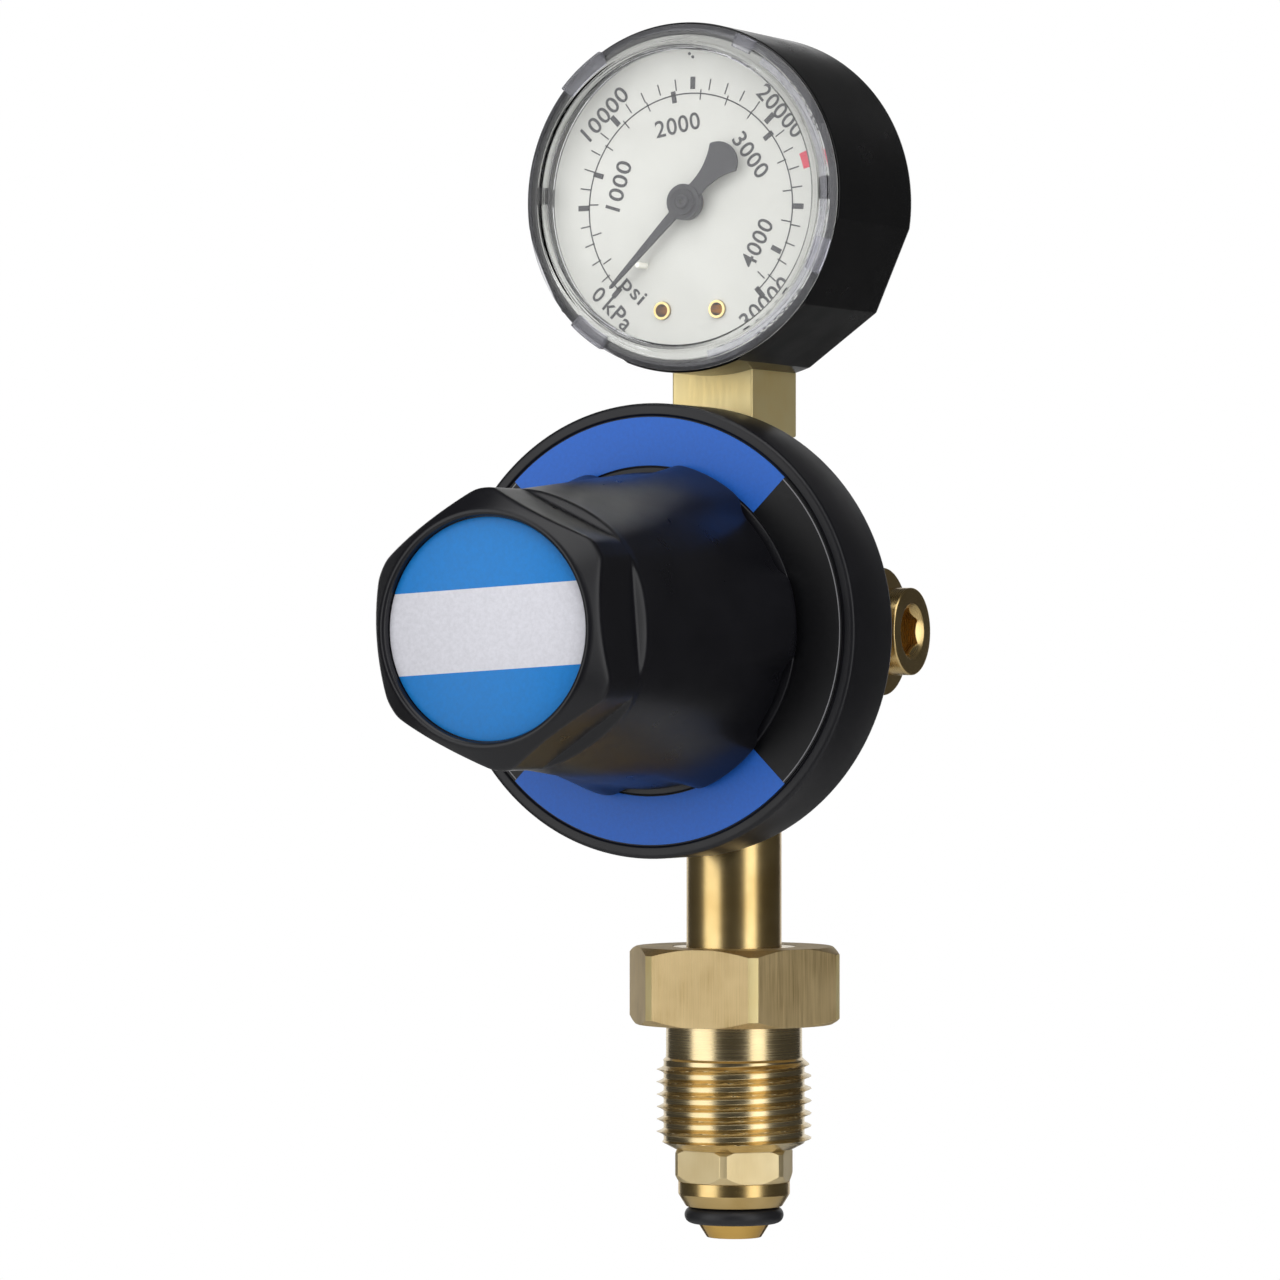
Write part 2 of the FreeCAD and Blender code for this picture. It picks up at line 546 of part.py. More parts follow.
def outline_sketch(body, name, role, points):
    """A closed outline whose corners are bound to pairs of expressions."""
    sketch = body.newObject("Sketcher::SketchObject", name)
    sketch.AttachmentSupport = [(origin_plane(body, role), "")]
    sketch.MapMode = "FlatFace"
    count = len(points)
    angles = [2 * math.pi * k / count for k in range(count)]
    spots = [Vector(20 + 10 * math.cos(a), 10 * math.sin(a), 0) for a in angles]
    for k in range(count):
        sketch.addGeometry(Part.LineSegment(spots[k], spots[(k + 1) % count]), False)
    for k in range(count):
        sketch.addConstraint(Sketcher.Constraint("Coincident", k, 2, (k + 1) % count, 1))
    for k, pair in enumerate(points):
        for kind, axis, start, text in (
            ("DistanceX", -2, spots[k].x, pair[0]),
            ("DistanceY", -1, spots[k].y, pair[1]),
        ):
            if text == "0":
                sketch.addConstraint(Sketcher.Constraint("PointOnObject", k, 1, axis))
            else:
                row = sketch.addConstraint(Sketcher.Constraint(kind, -1, 1, k, 1, start))
                sketch.setExpression(f"Constraints[{row}]", bound(text))
    return sketch


def turned(name, axis, points, at=("0", "0", "0")):
    """A piece turned about an axis, from corners given as (radius, distance along)."""
    body = doc.addObject("PartDesign::Body", name)
    role = "XZ_Plane" if axis == "Z" else "XY_Plane"
    if axis == "X":
        points = [(along, radius) for radius, along in points]
    sketch = outline_sketch(body, name + "_outline", role, points)
    solid = body.newObject("PartDesign::Revolution", name + "_turned")
    solid.Profile = sketch
    solid.ReferenceAxis = (sketch, ["H_Axis" if axis == "X" else "V_Axis"])
    solid.Angle = 360
    sketch.Visibility = False
    place(body, at)
    return body


def round_edges(body, name, axis, spots, radius, kind="PartDesign::Fillet"):
    """Fillet or chamfer the round edges of a turned piece that lie at (radius, distance)."""
    doc.recompute()
    tip = body.Tip
    picked = []
    wanted = [(sheet_value(r), sheet_value(d)) for r, d in spots]
    for number, edge in enumerate(tip.Shape.Edges, start=1):
        if not isinstance(edge.Curve, Part.Circle):
            continue
        centre = edge.Curve.Center
        along = {"X": centre.x, "Y": centre.y, "Z": centre.z}[axis]
        for r, d in wanted:
            if abs(edge.Curve.Radius - r) < 1e-4 and abs(along - d) < 1e-4:
                picked.append(f"Edge{number}")
    soft = body.newObject(kind, name)
    soft.Base = (tip, picked)
    soft.setExpression("Radius" if kind.endswith("Fillet") else "Size", bound(radius))
    body.Tip = soft
    return body


def sheet_value(text):
    """The value of a cell name, or of the sum of two."""
    total = 0
    for word in text.split("+"):
        total += size(word.strip())
    return total


def spring(name, radius, wire, turns, height, at):
    """A coil spring along Y: its lowest wire centre starts at the given place."""
    helix = doc.addObject("Part::Helix", name + "_path")
    helix.setExpression("Radius", bound(radius))
    helix.setExpression("Height", bound(height))
    helix.setExpression("Pitch", bound(f"({height}) / ({turns})"))
    section = doc.addObject("Part::Circle", name + "_wire")
    section.setExpression("Radius", bound(f"({wire}) / 2"))
    section.Placement = FreeCAD.Placement(Vector(), FreeCAD.Rotation(Vector(1, 0, 0), 90))
    section.setExpression("Placement.Base.x", bound(radius))
    coil = doc.addObject("Part::Sweep", name)
    coil.Sections = [section]
    coil.Spine = (helix, [])
    coil.Solid = True
    coil.Frenet = True
    coil.Placement = FreeCAD.Placement(Vector(), UPRIGHT["Y"])
    place(coil, at)
    return coil


KNOB_AXIS = ("0", "0", "centre_height")
GAUGE_AXIS = ("0", "0", "gauge_axis")
POINTER_AXIS = ("0", "0", "pointer_axis")


# Bonnet, its label and the screw's thread in its end wall
def make_bonnet():
    bonnet = turned("bonnet", "Y", [
        ("screw_bore", "neck_front"),
        ("neck_radius", "neck_front"),
        ("neck_radius", "flange_front"),
        ("label_inner", "flange_front"),
        ("label_inner", "flange_front + label_recess"),
        ("label_outer", "flange_front + label_recess"),
        ("label_outer", "flange_front"),
        ("flange_radius", "flange_front"),
        ("flange_radius", "flange_back"),
        ("skirt_bore", "flange_back"),
        ("skirt_bore", "shoulder"),
        ("slip_ring_inner", "shoulder"),
        ("slip_ring_inner", "spring_room_back"),
        ("spring_room_radius", "spring_room_back"),
        ("spring_room_radius", "spring_room_front"),
        ("screw_bore", "spring_room_front"),
    ], KNOB_AXIS)
    round_edges(bonnet, "bonnet_front_round", "Y", [("flange_radius", "flange_front")],
                "flange_round")
    round_edges(bonnet, "bonnet_rear_round", "Y", [("flange_radius", "flange_back")],
                "skirt_round")
    return bonnet


def make_ring_label():
    inner = "label_inner + thread_gap"
    outer = "label_outer - thread_gap"
    back = "flange_front + label_recess"
    front = "flange_front + label_recess - label_thickness"
    return turned("bonnet_label", "Y", [(inner, front), (outer, front), (outer, back), (inner, back)],
                  KNOB_AXIS)


# Knob: a soft six-sided body that swells to six lobes, with six flats milled across its front
def knob_radius(angle, share):
    """Radius at an angle from the middle of a flat; share runs from 0, behind the flats, to 1."""
    flat_line = size("knob_waist_radius") + share ** size("lobe_growth") * (
        size("knob_lobe_radius") - size("knob_waist_radius"))
    corner_line = size("knob_ridge_radius") + share * (
        size("knob_valley_radius") - size("knob_ridge_radius"))
    sharpness = size("lobe_softness") + size("lobe_sharpening") * share ** 2
    wave = math.tanh(sharpness * math.cos(6 * angle)) / math.tanh(sharpness)
    return (flat_line + corner_line) / 2 + wave * (flat_line - corner_line) / 2


def knob_section(y, share, turn):
    """One closed curve round the knob at a distance along Y."""
    count = 90
    points = []
    for k in range(count):
        angle = 2 * math.pi * k / count
        radius = knob_radius(angle, share)
        points.append(Vector(radius * math.cos(angle + turn), y, radius * math.sin(angle + turn)))
    curve = Part.BSplineCurve()
    curve.interpolate(points, PeriodicFlag=True)
    return Part.Wire([curve.toShape()])


def make_knob():
    front = size("knob_front")
    rear = size("knob_rear")
    grip_end = front + size("knob_grip_length") + size("knob_runout")
    turn = math.radians(size("knob_turn"))
    axis = Vector(0, 0, size("centre_height"))
    stations = [(front - size("overrun"), 0), ((front + grip_end) / 2, 0), (grip_end, 0)]
    steps = 7
    for k in range(1, steps + 1):
        share = k / steps
        stations.append((grip_end + share * (rear - grip_end), share))
    sections = [knob_section(y, share, turn) for y, share in stations]
    form = set_shape("knob_form", Part.makeLoft(sections, True, False), axis)

    envelope = turned("knob_envelope", "Y", [
        ("0", "knob_front"),
        ("knob_front_radius", "knob_front"),
        ("knob_ridge_radius + bevel_margin", "knob_front + knob_bevel"),
        ("knob_lobe_radius + knob_shoulder_height", "knob_front + knob_bevel + knob_shoulder_length"),
        ("knob_lobe_radius + knob_shoulder_height", "knob_rear - knob_rim_length"),
        ("knob_lobe_radius - knob_rim_drop", "knob_rear"),
        ("0", "knob_rear"),
    ], KNOB_AXIS)
    blank = common("knob_blank", form, envelope)

    half = size("knob_flats") / 2
    start = front - size("overrun")
    grip = front + size("knob_grip_length")
    reach = size("knob_lobe_radius")
    slope = (reach - half) * size("knob_runout") / (size("knob_ridge_radius") - half)
    profile = Part.makePolygon([
        Vector(half, start, 0), Vector(half, grip, 0), Vector(reach, grip + slope, 0),
        Vector(reach, start, 0), Vector(half, start, 0),
    ])
    face = Part.Face(profile)
    face.translate(Vector(0, 0, -half))
    block = face.extrude(Vector(0, 0, 2 * half))
    flats = []
    for k in range(6):
        piece = block.copy()
        piece.rotate(Vector(), Vector(0, 1, 0), -size("knob_turn") - 60 * k)
        flats.append(piece)
    milled = set_shape("knob_flats_cut", flats[0].fuse(flats[1:]), axis)

    hollow = turned("knob_hollow", "Y", [
        ("0", "knob_web"), ("knob_bore", "knob_web"), ("knob_bore", "knob_rear + overrun"),
        ("0", "knob_rear + overrun"),
    ], KNOB_AXIS)
    recess = turned("knob_recess", "Y", [
        ("0", "knob_front - overrun"), ("knob_label_radius + disc_gap", "knob_front - overrun"),
        ("knob_label_radius + disc_gap", "knob_floor"), ("0", "knob_floor"),
    ], KNOB_AXIS)
    head_room = hexagon("knob_head_room", "screw_head_flats + 2 * thread_gap",
                        "screw_head_height + face_gap + overrun", "Y",
                        ("0", "screw_head_front - face_gap", "centre_height"), size("knob_turn"))
    return cut("knob", blank, milled, hollow, recess, head_room)


def make_knob_label():
    return cylinder("knob_label", "knob_label_radius", "label_thickness", "Y",
                    ("0", "knob_floor - label_thickness", "centre_height"))


def make_adjusting_screw():
    head = hexagon("screw_head", "screw_head_flats", "screw_head_height", "Y",
                   ("0", "screw_head_front", "centre_height"), size("knob_turn"))
    shank = turned("screw_shank", "Y", [
        ("0", "screw_head_front"), ("screw_radius", "screw_head_front"),
        ("screw_radius", "screw_tip - screw_chamfer"), ("screw_radius - screw_chamfer", "screw_tip"),
        ("0", "screw_tip"),
    ], KNOB_AXIS)
    return fuse("adjusting_screw", head, shank)


def make_spring_button():
    return turned("spring_button", "Y", [
        ("0", "button_front"), ("button_radius", "button_front"), ("button_radius", "button_back"),
        ("button_nose_radius", "button_back"),
        ("button_nose_radius - nose_taper", "button_back + button_nose"),
        ("0", "button_back + button_nose"),
    ], KNOB_AXIS)


def make_main_spring():
    return spring("main_spring", "spring_radius", "spring_wire", "spring_turns", "spring_height",
                  ("0", "button_back + face_gap + spring_wire / 2", "centre_height"))


# Diaphragm, clamped between the bonnet's shoulder and the bowl's rim
def make_slip_ring():
    return turned("slip_ring", "Y", [
        ("slip_ring_inner", "shoulder"), ("bowl_radius - thread_gap", "shoulder"),
        ("bowl_radius - thread_gap", "diaphragm_front"), ("slip_ring_inner", "diaphragm_front"),
    ], KNOB_AXIS)


def make_diaphragm():
    return turned("diaphragm", "Y", [
        ("rivet_radius + thread_gap", "diaphragm_front"), ("bowl_radius - thread_gap", "diaphragm_front"),
        ("bowl_radius - thread_gap", "body_front"), ("rivet_radius + thread_gap", "body_front"),
    ], KNOB_AXIS)


def make_diaphragm_plate():
    return turned("diaphragm_plate", "Y", [
        ("0", "plate_face - plate_nose"), ("plate_nose_radius - nose_taper", "plate_face - plate_nose"),
        ("plate_nose_radius", "plate_face"), ("plate_radius", "plate_face"),
        ("plate_radius", "diaphragm_front"), ("rivet_radius", "diaphragm_front"),
        ("rivet_radius", "rivet_end"), ("0", "rivet_end"),
    ], KNOB_AXIS)


def make_diaphragm_washer():
    inner = "rivet_radius + thread_gap"
    back = "body_front + washer_thickness"
    return turned("diaphragm_washer", "Y", [
        (inner, "body_front"), ("washer_radius", "body_front"), ("washer_radius", back), (inner, back),
    ], KNOB_AXIS)


# Body: bowl, hub, two side bosses, two posts and the drillings
def make_body():
    bowl = turned("body_bowl", "Y", [
        ("0", "body_front"), ("bowl_radius", "body_front"), ("bowl_radius", "bowl_back"),
        ("hub_radius", "bowl_back"), ("hub_radius", "hub_back"), ("0", "hub_back"),
    ], KNOB_AXIS)
    sides = cylinder("body_side_bosses", "boss_radius", "outlet_boss_reach + boss_reach", "X",
                     ("0 - outlet_boss_reach", "0", "centre_height"))
    posts = cylinder("body_posts", "post_radius", "lower_reach + upper_reach", "Z",
                     ("0", "0", "centre_height - lower_reach"))
    blank = fuse("body_blank", bowl, sides, posts)

    cavity = turned("body_cavity", "Y", [
        ("0", "body_front - overrun"), ("bowl_inner", "body_front - overrun"), ("bowl_inner", "bowl_floor"),
        ("nozzle_radius + thread_gap", "bowl_floor"), ("nozzle_radius + thread_gap", "chamber_front"),
        ("chamber_radius", "chamber_front"), ("chamber_radius", "hub_back + overrun"),
        ("0", "hub_back + overrun"),
    ], KNOB_AXIS)
    plug_port = turned("body_plug_port", "X", [
        ("0", "plug_shank_end - drill_run"), ("plug_shank_radius + thread_gap", "plug_shank_end - drill_run"),
        ("plug_shank_radius + thread_gap", "boss_reach - plug_seal_wire"),
        ("plug_seal_radius + plug_seal_wire / 2 + thread_gap", "boss_reach - plug_seal_wire"),
        ("plug_seal_radius + plug_seal_wire / 2 + thread_gap", "boss_reach + overrun"),
        ("0", "boss_reach + overrun"),
    ], KNOB_AXIS)
    outlet_port = turned("body_outlet_port", "X", [
        ("0", "0 - outlet_boss_reach - overrun"),
        ("outlet_shank_radius + thread_gap", "0 - outlet_boss_reach - overrun"),
        ("outlet_shank_radius + thread_gap", "0 - outlet_shank_end"),
        ("outlet_bore", "0 - outlet_shank_end"), ("outlet_bore", "low_bore_end - passage_place"),
        ("0", "low_bore_end - passage_place"),
    ], KNOB_AXIS)
    inlet_port = turned("body_inlet_port", "Z", [
        ("0", "centre_height - lower_reach - overrun"),
        ("stem_radius + thread_gap", "centre_height - lower_reach - overrun"),
        ("stem_radius + thread_gap", "stem_top"), ("2 * passage_radius", "stem_top"),
        ("2 * passage_radius", "centre_height"), ("0", "centre_height"),
    ])
    gauge_port = turned("body_gauge_port", "Z", [
        ("0", "centre_height"), ("passage_radius", "centre_height"),
        ("passage_radius", "block_bottom - stub_length"),
        ("stub_radius + thread_gap", "block_bottom - stub_length"),
        ("stub_radius + thread_gap", "block_bottom"), ("0", "block_bottom"),
    ])
    passages = []
    for side, sign in (("left", "0 - "), ("right", "")):
        passages.append(cylinder(f"body_{side}_passage", "passage_radius", "0 - bowl_floor + overrun", "Y",
                                 (sign + "passage_place", "bowl_floor - overrun", "centre_height")))
    relief_port = cylinder("body_relief_port", "relief_shank_radius + thread_gap",
                           "bowl_length - bowl_depth + 2 * overrun", "Y",
                           ("0 - relief_place", "bowl_floor - overrun", "centre_height + relief_place"))
    return cut("body", blank, cavity, plug_port, outlet_port, inlet_port, gauge_port, relief_port,
               *passages)


# Valve: nozzle, stem, seat disc, spring and the cap that closes the chamber
def make_valve_nozzle():
    blank = turned("nozzle_blank", "Y", [
        ("orifice_radius", "bowl_floor - nozzle_head"),
        ("nozzle_flats / sqrt(3)", "bowl_floor - nozzle_head"),
        ("nozzle_flats / sqrt(3)", "bowl_floor"), ("nozzle_radius", "bowl_floor"),
        ("nozzle_radius", "chamber_front"), ("lip_radius", "chamber_front"),
        ("orifice_radius + lip_width", "lip_end"), ("orifice_radius", "lip_end"),
    ], KNOB_AXIS)
    bar = hexagon("nozzle_bar", "nozzle_flats", "lip_end - bowl_floor + nozzle_head + overrun", "Y",
                  ("0", "bowl_floor - nozzle_head", "centre_height"))
    return common("valve_nozzle", blank, bar)


def make_valve_stem():
    return turned("valve_stem", "Y", [
        ("0", "rivet_end + face_gap"), ("pin_radius", "rivet_end + face_gap"),
        ("pin_radius", "poppet_front + seat_disc_thickness"),
        ("seat_disc_radius + thread_gap", "poppet_front + seat_disc_thickness"),
        ("seat_disc_radius + thread_gap", "poppet_front"), ("poppet_radius", "poppet_front"),
        ("poppet_radius", "poppet_back"), ("0", "poppet_back"),
    ], KNOB_AXIS)


def make_valve_seat_disc():
    inner = "pin_radius + thread_gap"
    back = "poppet_front + seat_disc_thickness"
    return turned("valve_seat_disc", "Y", [
        (inner, "poppet_front"), ("seat_disc_radius", "poppet_front"), ("seat_disc_radius", back),
        (inner, back),
    ], KNOB_AXIS)


def make_valve_spring():
    return spring("valve_spring", "valve_spring_radius", "valve_spring_wire", "valve_spring_turns",
                  "valve_spring_height",
                  ("0", "poppet_back + face_gap + valve_spring_wire / 2", "centre_height"))


def make_rear_cap():
    seal_room = "chamber_radius - cap_seal_wire"
    groove_end = "hub_back - seal_setback"
    groove_start = groove_end + " - cap_seal_wire - 2 * face_gap"
    blank = turned("cap_blank", "Y", [
        ("0", "cap_plug_front"), ("chamber_radius - thread_gap", "cap_plug_front"),
        ("chamber_radius - thread_gap", groove_start), (seal_room, groove_start),
        (seal_room, groove_end), ("chamber_radius - thread_gap", groove_end),
        ("chamber_radius - thread_gap", "hub_back"), ("cap_flats / 2 - chamfer_inset", "hub_back"),
        ("cap_flats / sqrt(3)", "hub_back + cap_shoulder"),
        ("cap_flats / sqrt(3)", "hub_back + cap_head - cap_chamfer"),
        ("cap_flats / 2 - chamfer_inset", "hub_back + cap_head"), ("0", "hub_back + cap_head"),
    ], KNOB_AXIS)
    bar = hexagon("cap_bar", "cap_flats", "cap_plug + cap_head", "Y",
                  ("0", "cap_plug_front", "centre_height"))
    return common("rear_cap", blank, bar)


def make_rear_cap_seal():
    return torus("rear_cap_seal", "chamber_radius - cap_seal_wire / 2", "cap_seal_wire / 2 - thread_gap",
                 "Y", ("0", "hub_back - seal_setback - face_gap - cap_seal_wire / 2", "centre_height"))


# Relief valve on the rear of the bowl
RELIEF_AXIS = ("0 - relief_place", "0", "centre_height + relief_place")


def make_relief_body():
    return turned("relief_body", "Y", [
        ("relief_vent_radius", "bowl_floor + relief_shank_gap"),
        ("relief_shank_radius", "bowl_floor + relief_shank_gap"),
        ("relief_shank_radius", "bowl_back"), ("relief_radius", "bowl_back"),
        ("relief_radius", "relief_back"), ("relief_bore", "relief_back"),
        ("relief_bore", "relief_floor"), ("relief_vent_radius", "relief_floor"),
    ], RELIEF_AXIS)


def make_relief_disc():
    front = "relief_floor + face_gap"
    return turned("relief_disc", "Y", [
        ("0", front), ("relief_bore - relief_disc_gap", front),
        ("relief_bore - relief_disc_gap", "relief_disc_back"),
        ("relief_spring_radius - relief_spring_wire", "relief_disc_back"),
        ("relief_spring_radius - relief_spring_wire", "relief_disc_back + relief_pip"),
        ("0", "relief_disc_back + relief_pip"),
    ], RELIEF_AXIS)


def make_relief_spring():
    return spring("relief_spring", "relief_spring_radius", "relief_spring_wire", "relief_spring_turns",
                  "relief_spring_height",
                  (RELIEF_AXIS[0], "relief_disc_back + face_gap + relief_spring_wire / 2", RELIEF_AXIS[2]))


def make_relief_cap():
    return turned("relief_cap", "Y", [
        ("relief_vent_radius", "relief_cap_front"), ("relief_bore - thread_gap", "relief_cap_front"),
        ("relief_bore - thread_gap", "relief_back"), ("relief_vent_radius", "relief_back"),
    ], RELIEF_AXIS)


# Outlet fitting on the left boss
def make_outlet_fitting():
    hexagon_corner = "outlet_hex_flats / sqrt(3)"
    blank = turned("outlet_blank", "X", [
        ("outlet_bore", "0 - outlet_shank_end"), ("outlet_shank_radius", "0 - outlet_shank_end"),
        ("outlet_shank_radius", "0 - outlet_boss_reach"), (hexagon_corner, "0 - outlet_boss_reach"),
        (hexagon_corner, "outlet_chamfer - outlet_shoulder"),
        ("outlet_hex_flats / 2 - chamfer_inset", "0 - outlet_shoulder"),
        ("outlet_relief_radius", "0 - outlet_shoulder"), ("outlet_relief_radius", "0 - outlet_thread_start"),
        ("outlet_thread_radius", "0 - outlet_thread_start"),
        ("outlet_thread_radius", "outlet_chamfer - outlet_end"),
        ("outlet_thread_radius - outlet_thread_chamfer", "0 - outlet_end"),
        ("outlet_mouth_radius", "0 - outlet_end"),
        ("outlet_bore", "outlet_mouth_depth - outlet_end"),
    ], KNOB_AXIS)
    bar = hexagon("outlet_bar", "outlet_hex_flats", "outlet_end - outlet_shank_end", "X",
                  ("0 - outlet_end", "0", "centre_height"))
    return common("outlet_fitting", blank, bar)


# Port plug with a hexagon socket on the right boss
def make_port_plug():
    blank = turned("plug_blank", "X", [
        ("0", "plug_shank_end"), ("plug_shank_radius", "plug_shank_end"),
        ("plug_shank_radius", "boss_reach"), ("plug_radius - plug_underside", "boss_reach"),
        ("plug_radius", "boss_reach + plug_underside_length"), ("plug_radius", "plug_face"),
        ("plug_socket_mouth", "plug_face"), ("plug_socket_flats / 2", "plug_face - plug_mouth_depth"),
        ("0", "plug_face - plug_mouth_depth"),
    ], KNOB_AXIS)
    socket = hexagon("plug_socket", "plug_socket_flats", "plug_socket_depth + overrun", "X",
                     ("plug_face - plug_socket_depth", "0", "centre_height"), 30)
    return cut("port_plug", blank, socket)


def make_port_plug_seal():
    return torus("port_plug_seal", "plug_seal_radius", "plug_seal_wire / 2 - face_gap", "X",
                 ("boss_reach - plug_seal_wire / 2", "0", "centre_height"))


# Inlet: stem with its nipple, filter, nut and O-ring
def make_inlet_stem():
    stem = turned("stem_round", "Z", [
        ("stem_bore", "tip_bottom"), ("tip_end_radius", "tip_bottom"), ("tip_radius", "groove_bottom"),
        ("groove_radius", "groove_bottom"), ("groove_radius", "cone_bottom"),
        ("nose_cone_radius", "cone_bottom"), ("nose_radius", "nose_bottom"),
        ("nose_radius", "nipple_bottom"), ("stem_radius", "nipple_bottom"), ("stem_radius", "stem_top"),
        ("filter_radius + thread_gap", "stem_top"), ("filter_radius + thread_gap", "filter_bottom"),
        ("stem_bore", "filter_bottom"),
    ])
    blank = turned("nipple_blank", "Z", [
        ("stem_bore", "nipple_top"), ("nipple_corner_radius - nipple_top_inset", "nipple_top"),
        ("nipple_corner_radius", "nipple_top - nipple_top_chamfer"),
        ("nipple_corner_radius", "nipple_bottom + nipple_chamfer"),
        ("nose_radius", "nipple_bottom"), ("stem_bore", "nipple_bottom"),
    ])
    bar = hexagon("nipple_bar", "nipple_flats", "nipple_height", "Z", ("0", "0", "nipple_bottom"),
                  size("nipple_turn"))
    return fuse("inlet_stem", stem, common("nipple_hexagon", blank, bar))


def make_inlet_filter():
    return turned("inlet_filter", "Z", [
        ("filter_bore", "filter_bottom"), ("filter_radius", "filter_bottom"), ("filter_radius", "filter_top"),
        ("0", "filter_top"), ("0", "filter_top - filter_end"), ("filter_bore", "filter_top - filter_end"),
    ])


def make_inlet_nut():
    chamfer_drop = "nut_chamfer * tan(30)"
    blank = turned("nut_blank", "Z", [
        ("nut_bore", "0 - thread_lead"), ("thread_lead_radius", "0 - thread_lead"), ("thread_radius", "0"),
        ("thread_radius", "thread_length - thread_runout"), ("collar_radius", "thread_length"),
        ("collar_radius", "collar_top"), ("nut_corner_radius - nut_chamfer", "collar_top"),
        ("nut_corner_radius", "collar_top + " + chamfer_drop),
        ("nut_corner_radius", "nut_top - " + chamfer_drop),
        ("nut_corner_radius - nut_chamfer", "nut_top"), ("nut_bore", "nut_top"),
    ])
    bar = hexagon("nut_bar", "nut_flats", "nut_top + thread_lead", "Z", ("0", "0", "0 - thread_lead"),
                  size("nut_turn"))
    return common("inlet_nut", blank, bar)


def make_inlet_o_ring():
    return torus("inlet_o_ring", "groove_radius + o_ring_wire / 2 + face_gap", "o_ring_wire / 2", "Z",
                 ("0", "0", "cone_bottom - face_gap - o_ring_wire / 2"))


# Gauge: case with four lower flats, clear cap, dial and its small parts
def case_flat_cuts():
    """Blocks that trim the lower quarters of the case along chords."""
    radius = size("case_radius")
    front = size("case_front") - size("overrun")
    back = size("case_back") + size("overrun")
    span = size("case_flat_turn")
    chord = radius * math.cos(math.radians(span / 2))
    cuts = []
    for k in range(2):
        middle = -size("case_flat_start") - span * (k + 0.5)
        for angle in (middle, 180 - middle):
            block = Part.makeBox(radius, back - front, 4 * radius, Vector(chord, front, -2 * radius))
            block.rotate(Vector(), Vector(0, 1, 0), -angle)
            cuts.append(block)
    return set_shape("case_flats", cuts[0].fuse(cuts[1:]), Vector(0, 0, size("gauge_axis")))


def make_gauge_case():
    shell = turned("case_shell", "Y", [
        ("dial_radius - case_ledge", "dial_back"), ("case_bore", "dial_back"), ("case_bore", "case_front"),
        ("case_radius", "case_front"), ("case_radius", "case_back"), ("0", "case_back"),
        ("0", "case_back - case_floor"), ("dial_radius - case_ledge", "case_back - case_floor"),
    ], GAUGE_AXIS)
    round_edges(shell, "case_rear_round", "Y", [("case_radius", "case_back")], "case_round")
    opening = box("case_opening", "block_width + 2 * block_gap", "block_depth + 2 * block_gap",
                  "gauge_axis - block_bottom",
                  ("0 - block_width / 2 - block_gap", "block_front - block_gap", "block_bottom"))
    vent = cylinder("case_vent", "vent_radius", "case_floor + 2 * overrun", "Y",
                    ("0", "case_back - case_floor - overrun", "gauge_axis + vent_height"))
    return cut("gauge_case", shell, case_flat_cuts(), opening, vent)


def make_blowout_plug():
    lip = "vent_radius + vent_lip"
    return turned("blowout_plug", "Y", [
        ("0", "case_back - case_floor - vent_depth"),
        ("vent_radius - thread_gap", "case_back - case_floor - vent_depth"),
        ("vent_radius - thread_gap", "case_back"), (lip, "case_back"),
        (lip, "case_back + vent_lip_thickness"), ("vent_radius", "case_back + vent_proud"),
        ("0", "case_back + vent_proud"),
    ], ("0", "0", "gauge_axis + vent_height"))


def make_gauge_lens():
    outer = "case_bore - dial_gap"
    inner = "case_bore - dial_gap - lens_skirt_wall"
    skirt_end = "dial_front - face_gap"
    return turned("gauge_lens", "Y", [
        ("0", "lens_front"), ("lens_radius - lens_chamfer", "lens_front"),
        ("lens_radius", "lens_front + lens_chamfer"),
        ("lens_radius", "case_front"), (outer, "case_front"), (outer, skirt_end), (inner, skirt_end),
        (inner, "case_front"), ("0", "case_front"),
    ], GAUGE_AXIS)


def make_gauge_dial():
    plate = cylinder("dial_plate", "dial_radius", "dial_thickness", "Y", ("0", "dial_front", "gauge_axis"))
    through = "dial_thickness + 2 * overrun"
    holes = [cylinder("dial_middle_hole", "dial_hole", through, "Y",
                      ("0", "dial_front - overrun", "pointer_axis"))]
    for side, sign in (("left", "0 - "), ("right", "")):
        holes.append(cylinder(f"dial_{side}_hole", "eyelet_radius + thread_gap", through, "Y",
                              (sign + "eyelet_place", "dial_front - overrun", "pointer_axis - eyelet_drop")))
    return cut("gauge_dial", plate, *holes)


def make_dial_eyelets():
    rivets = []
    for side, sign in (("left", "0 - "), ("right", "")):
        rivets.append(turned(f"{side}_eyelet", "Y", [
            ("eyelet_bore", "dial_front - eyelet_proud"), ("eyelet_radius", "dial_front - eyelet_proud"),
            ("eyelet_radius", "block_front"), ("0", "block_front"), ("0", "block_front - rivet_depth"),
            ("eyelet_bore", "block_front - rivet_depth"),
        ], (sign + "eyelet_place", "0", "pointer_axis - eyelet_drop")))
    return group("dial_eyelets", *rivets)


def make_pointer_stop():
    front = "pointer_front + stop_setback"
    return turned("pointer_stop", "Y", [
        ("0", front), ("stop_radius - stop_tip_inset", front),
        ("stop_radius", front + " + stop_chamfer"), ("stop_radius", "dial_front"), ("0", "dial_front"),
    ], ("0 - stop_place * cos(180 - stop_turn)", "0",
        "pointer_axis - stop_place * sin(stop_turn)"))


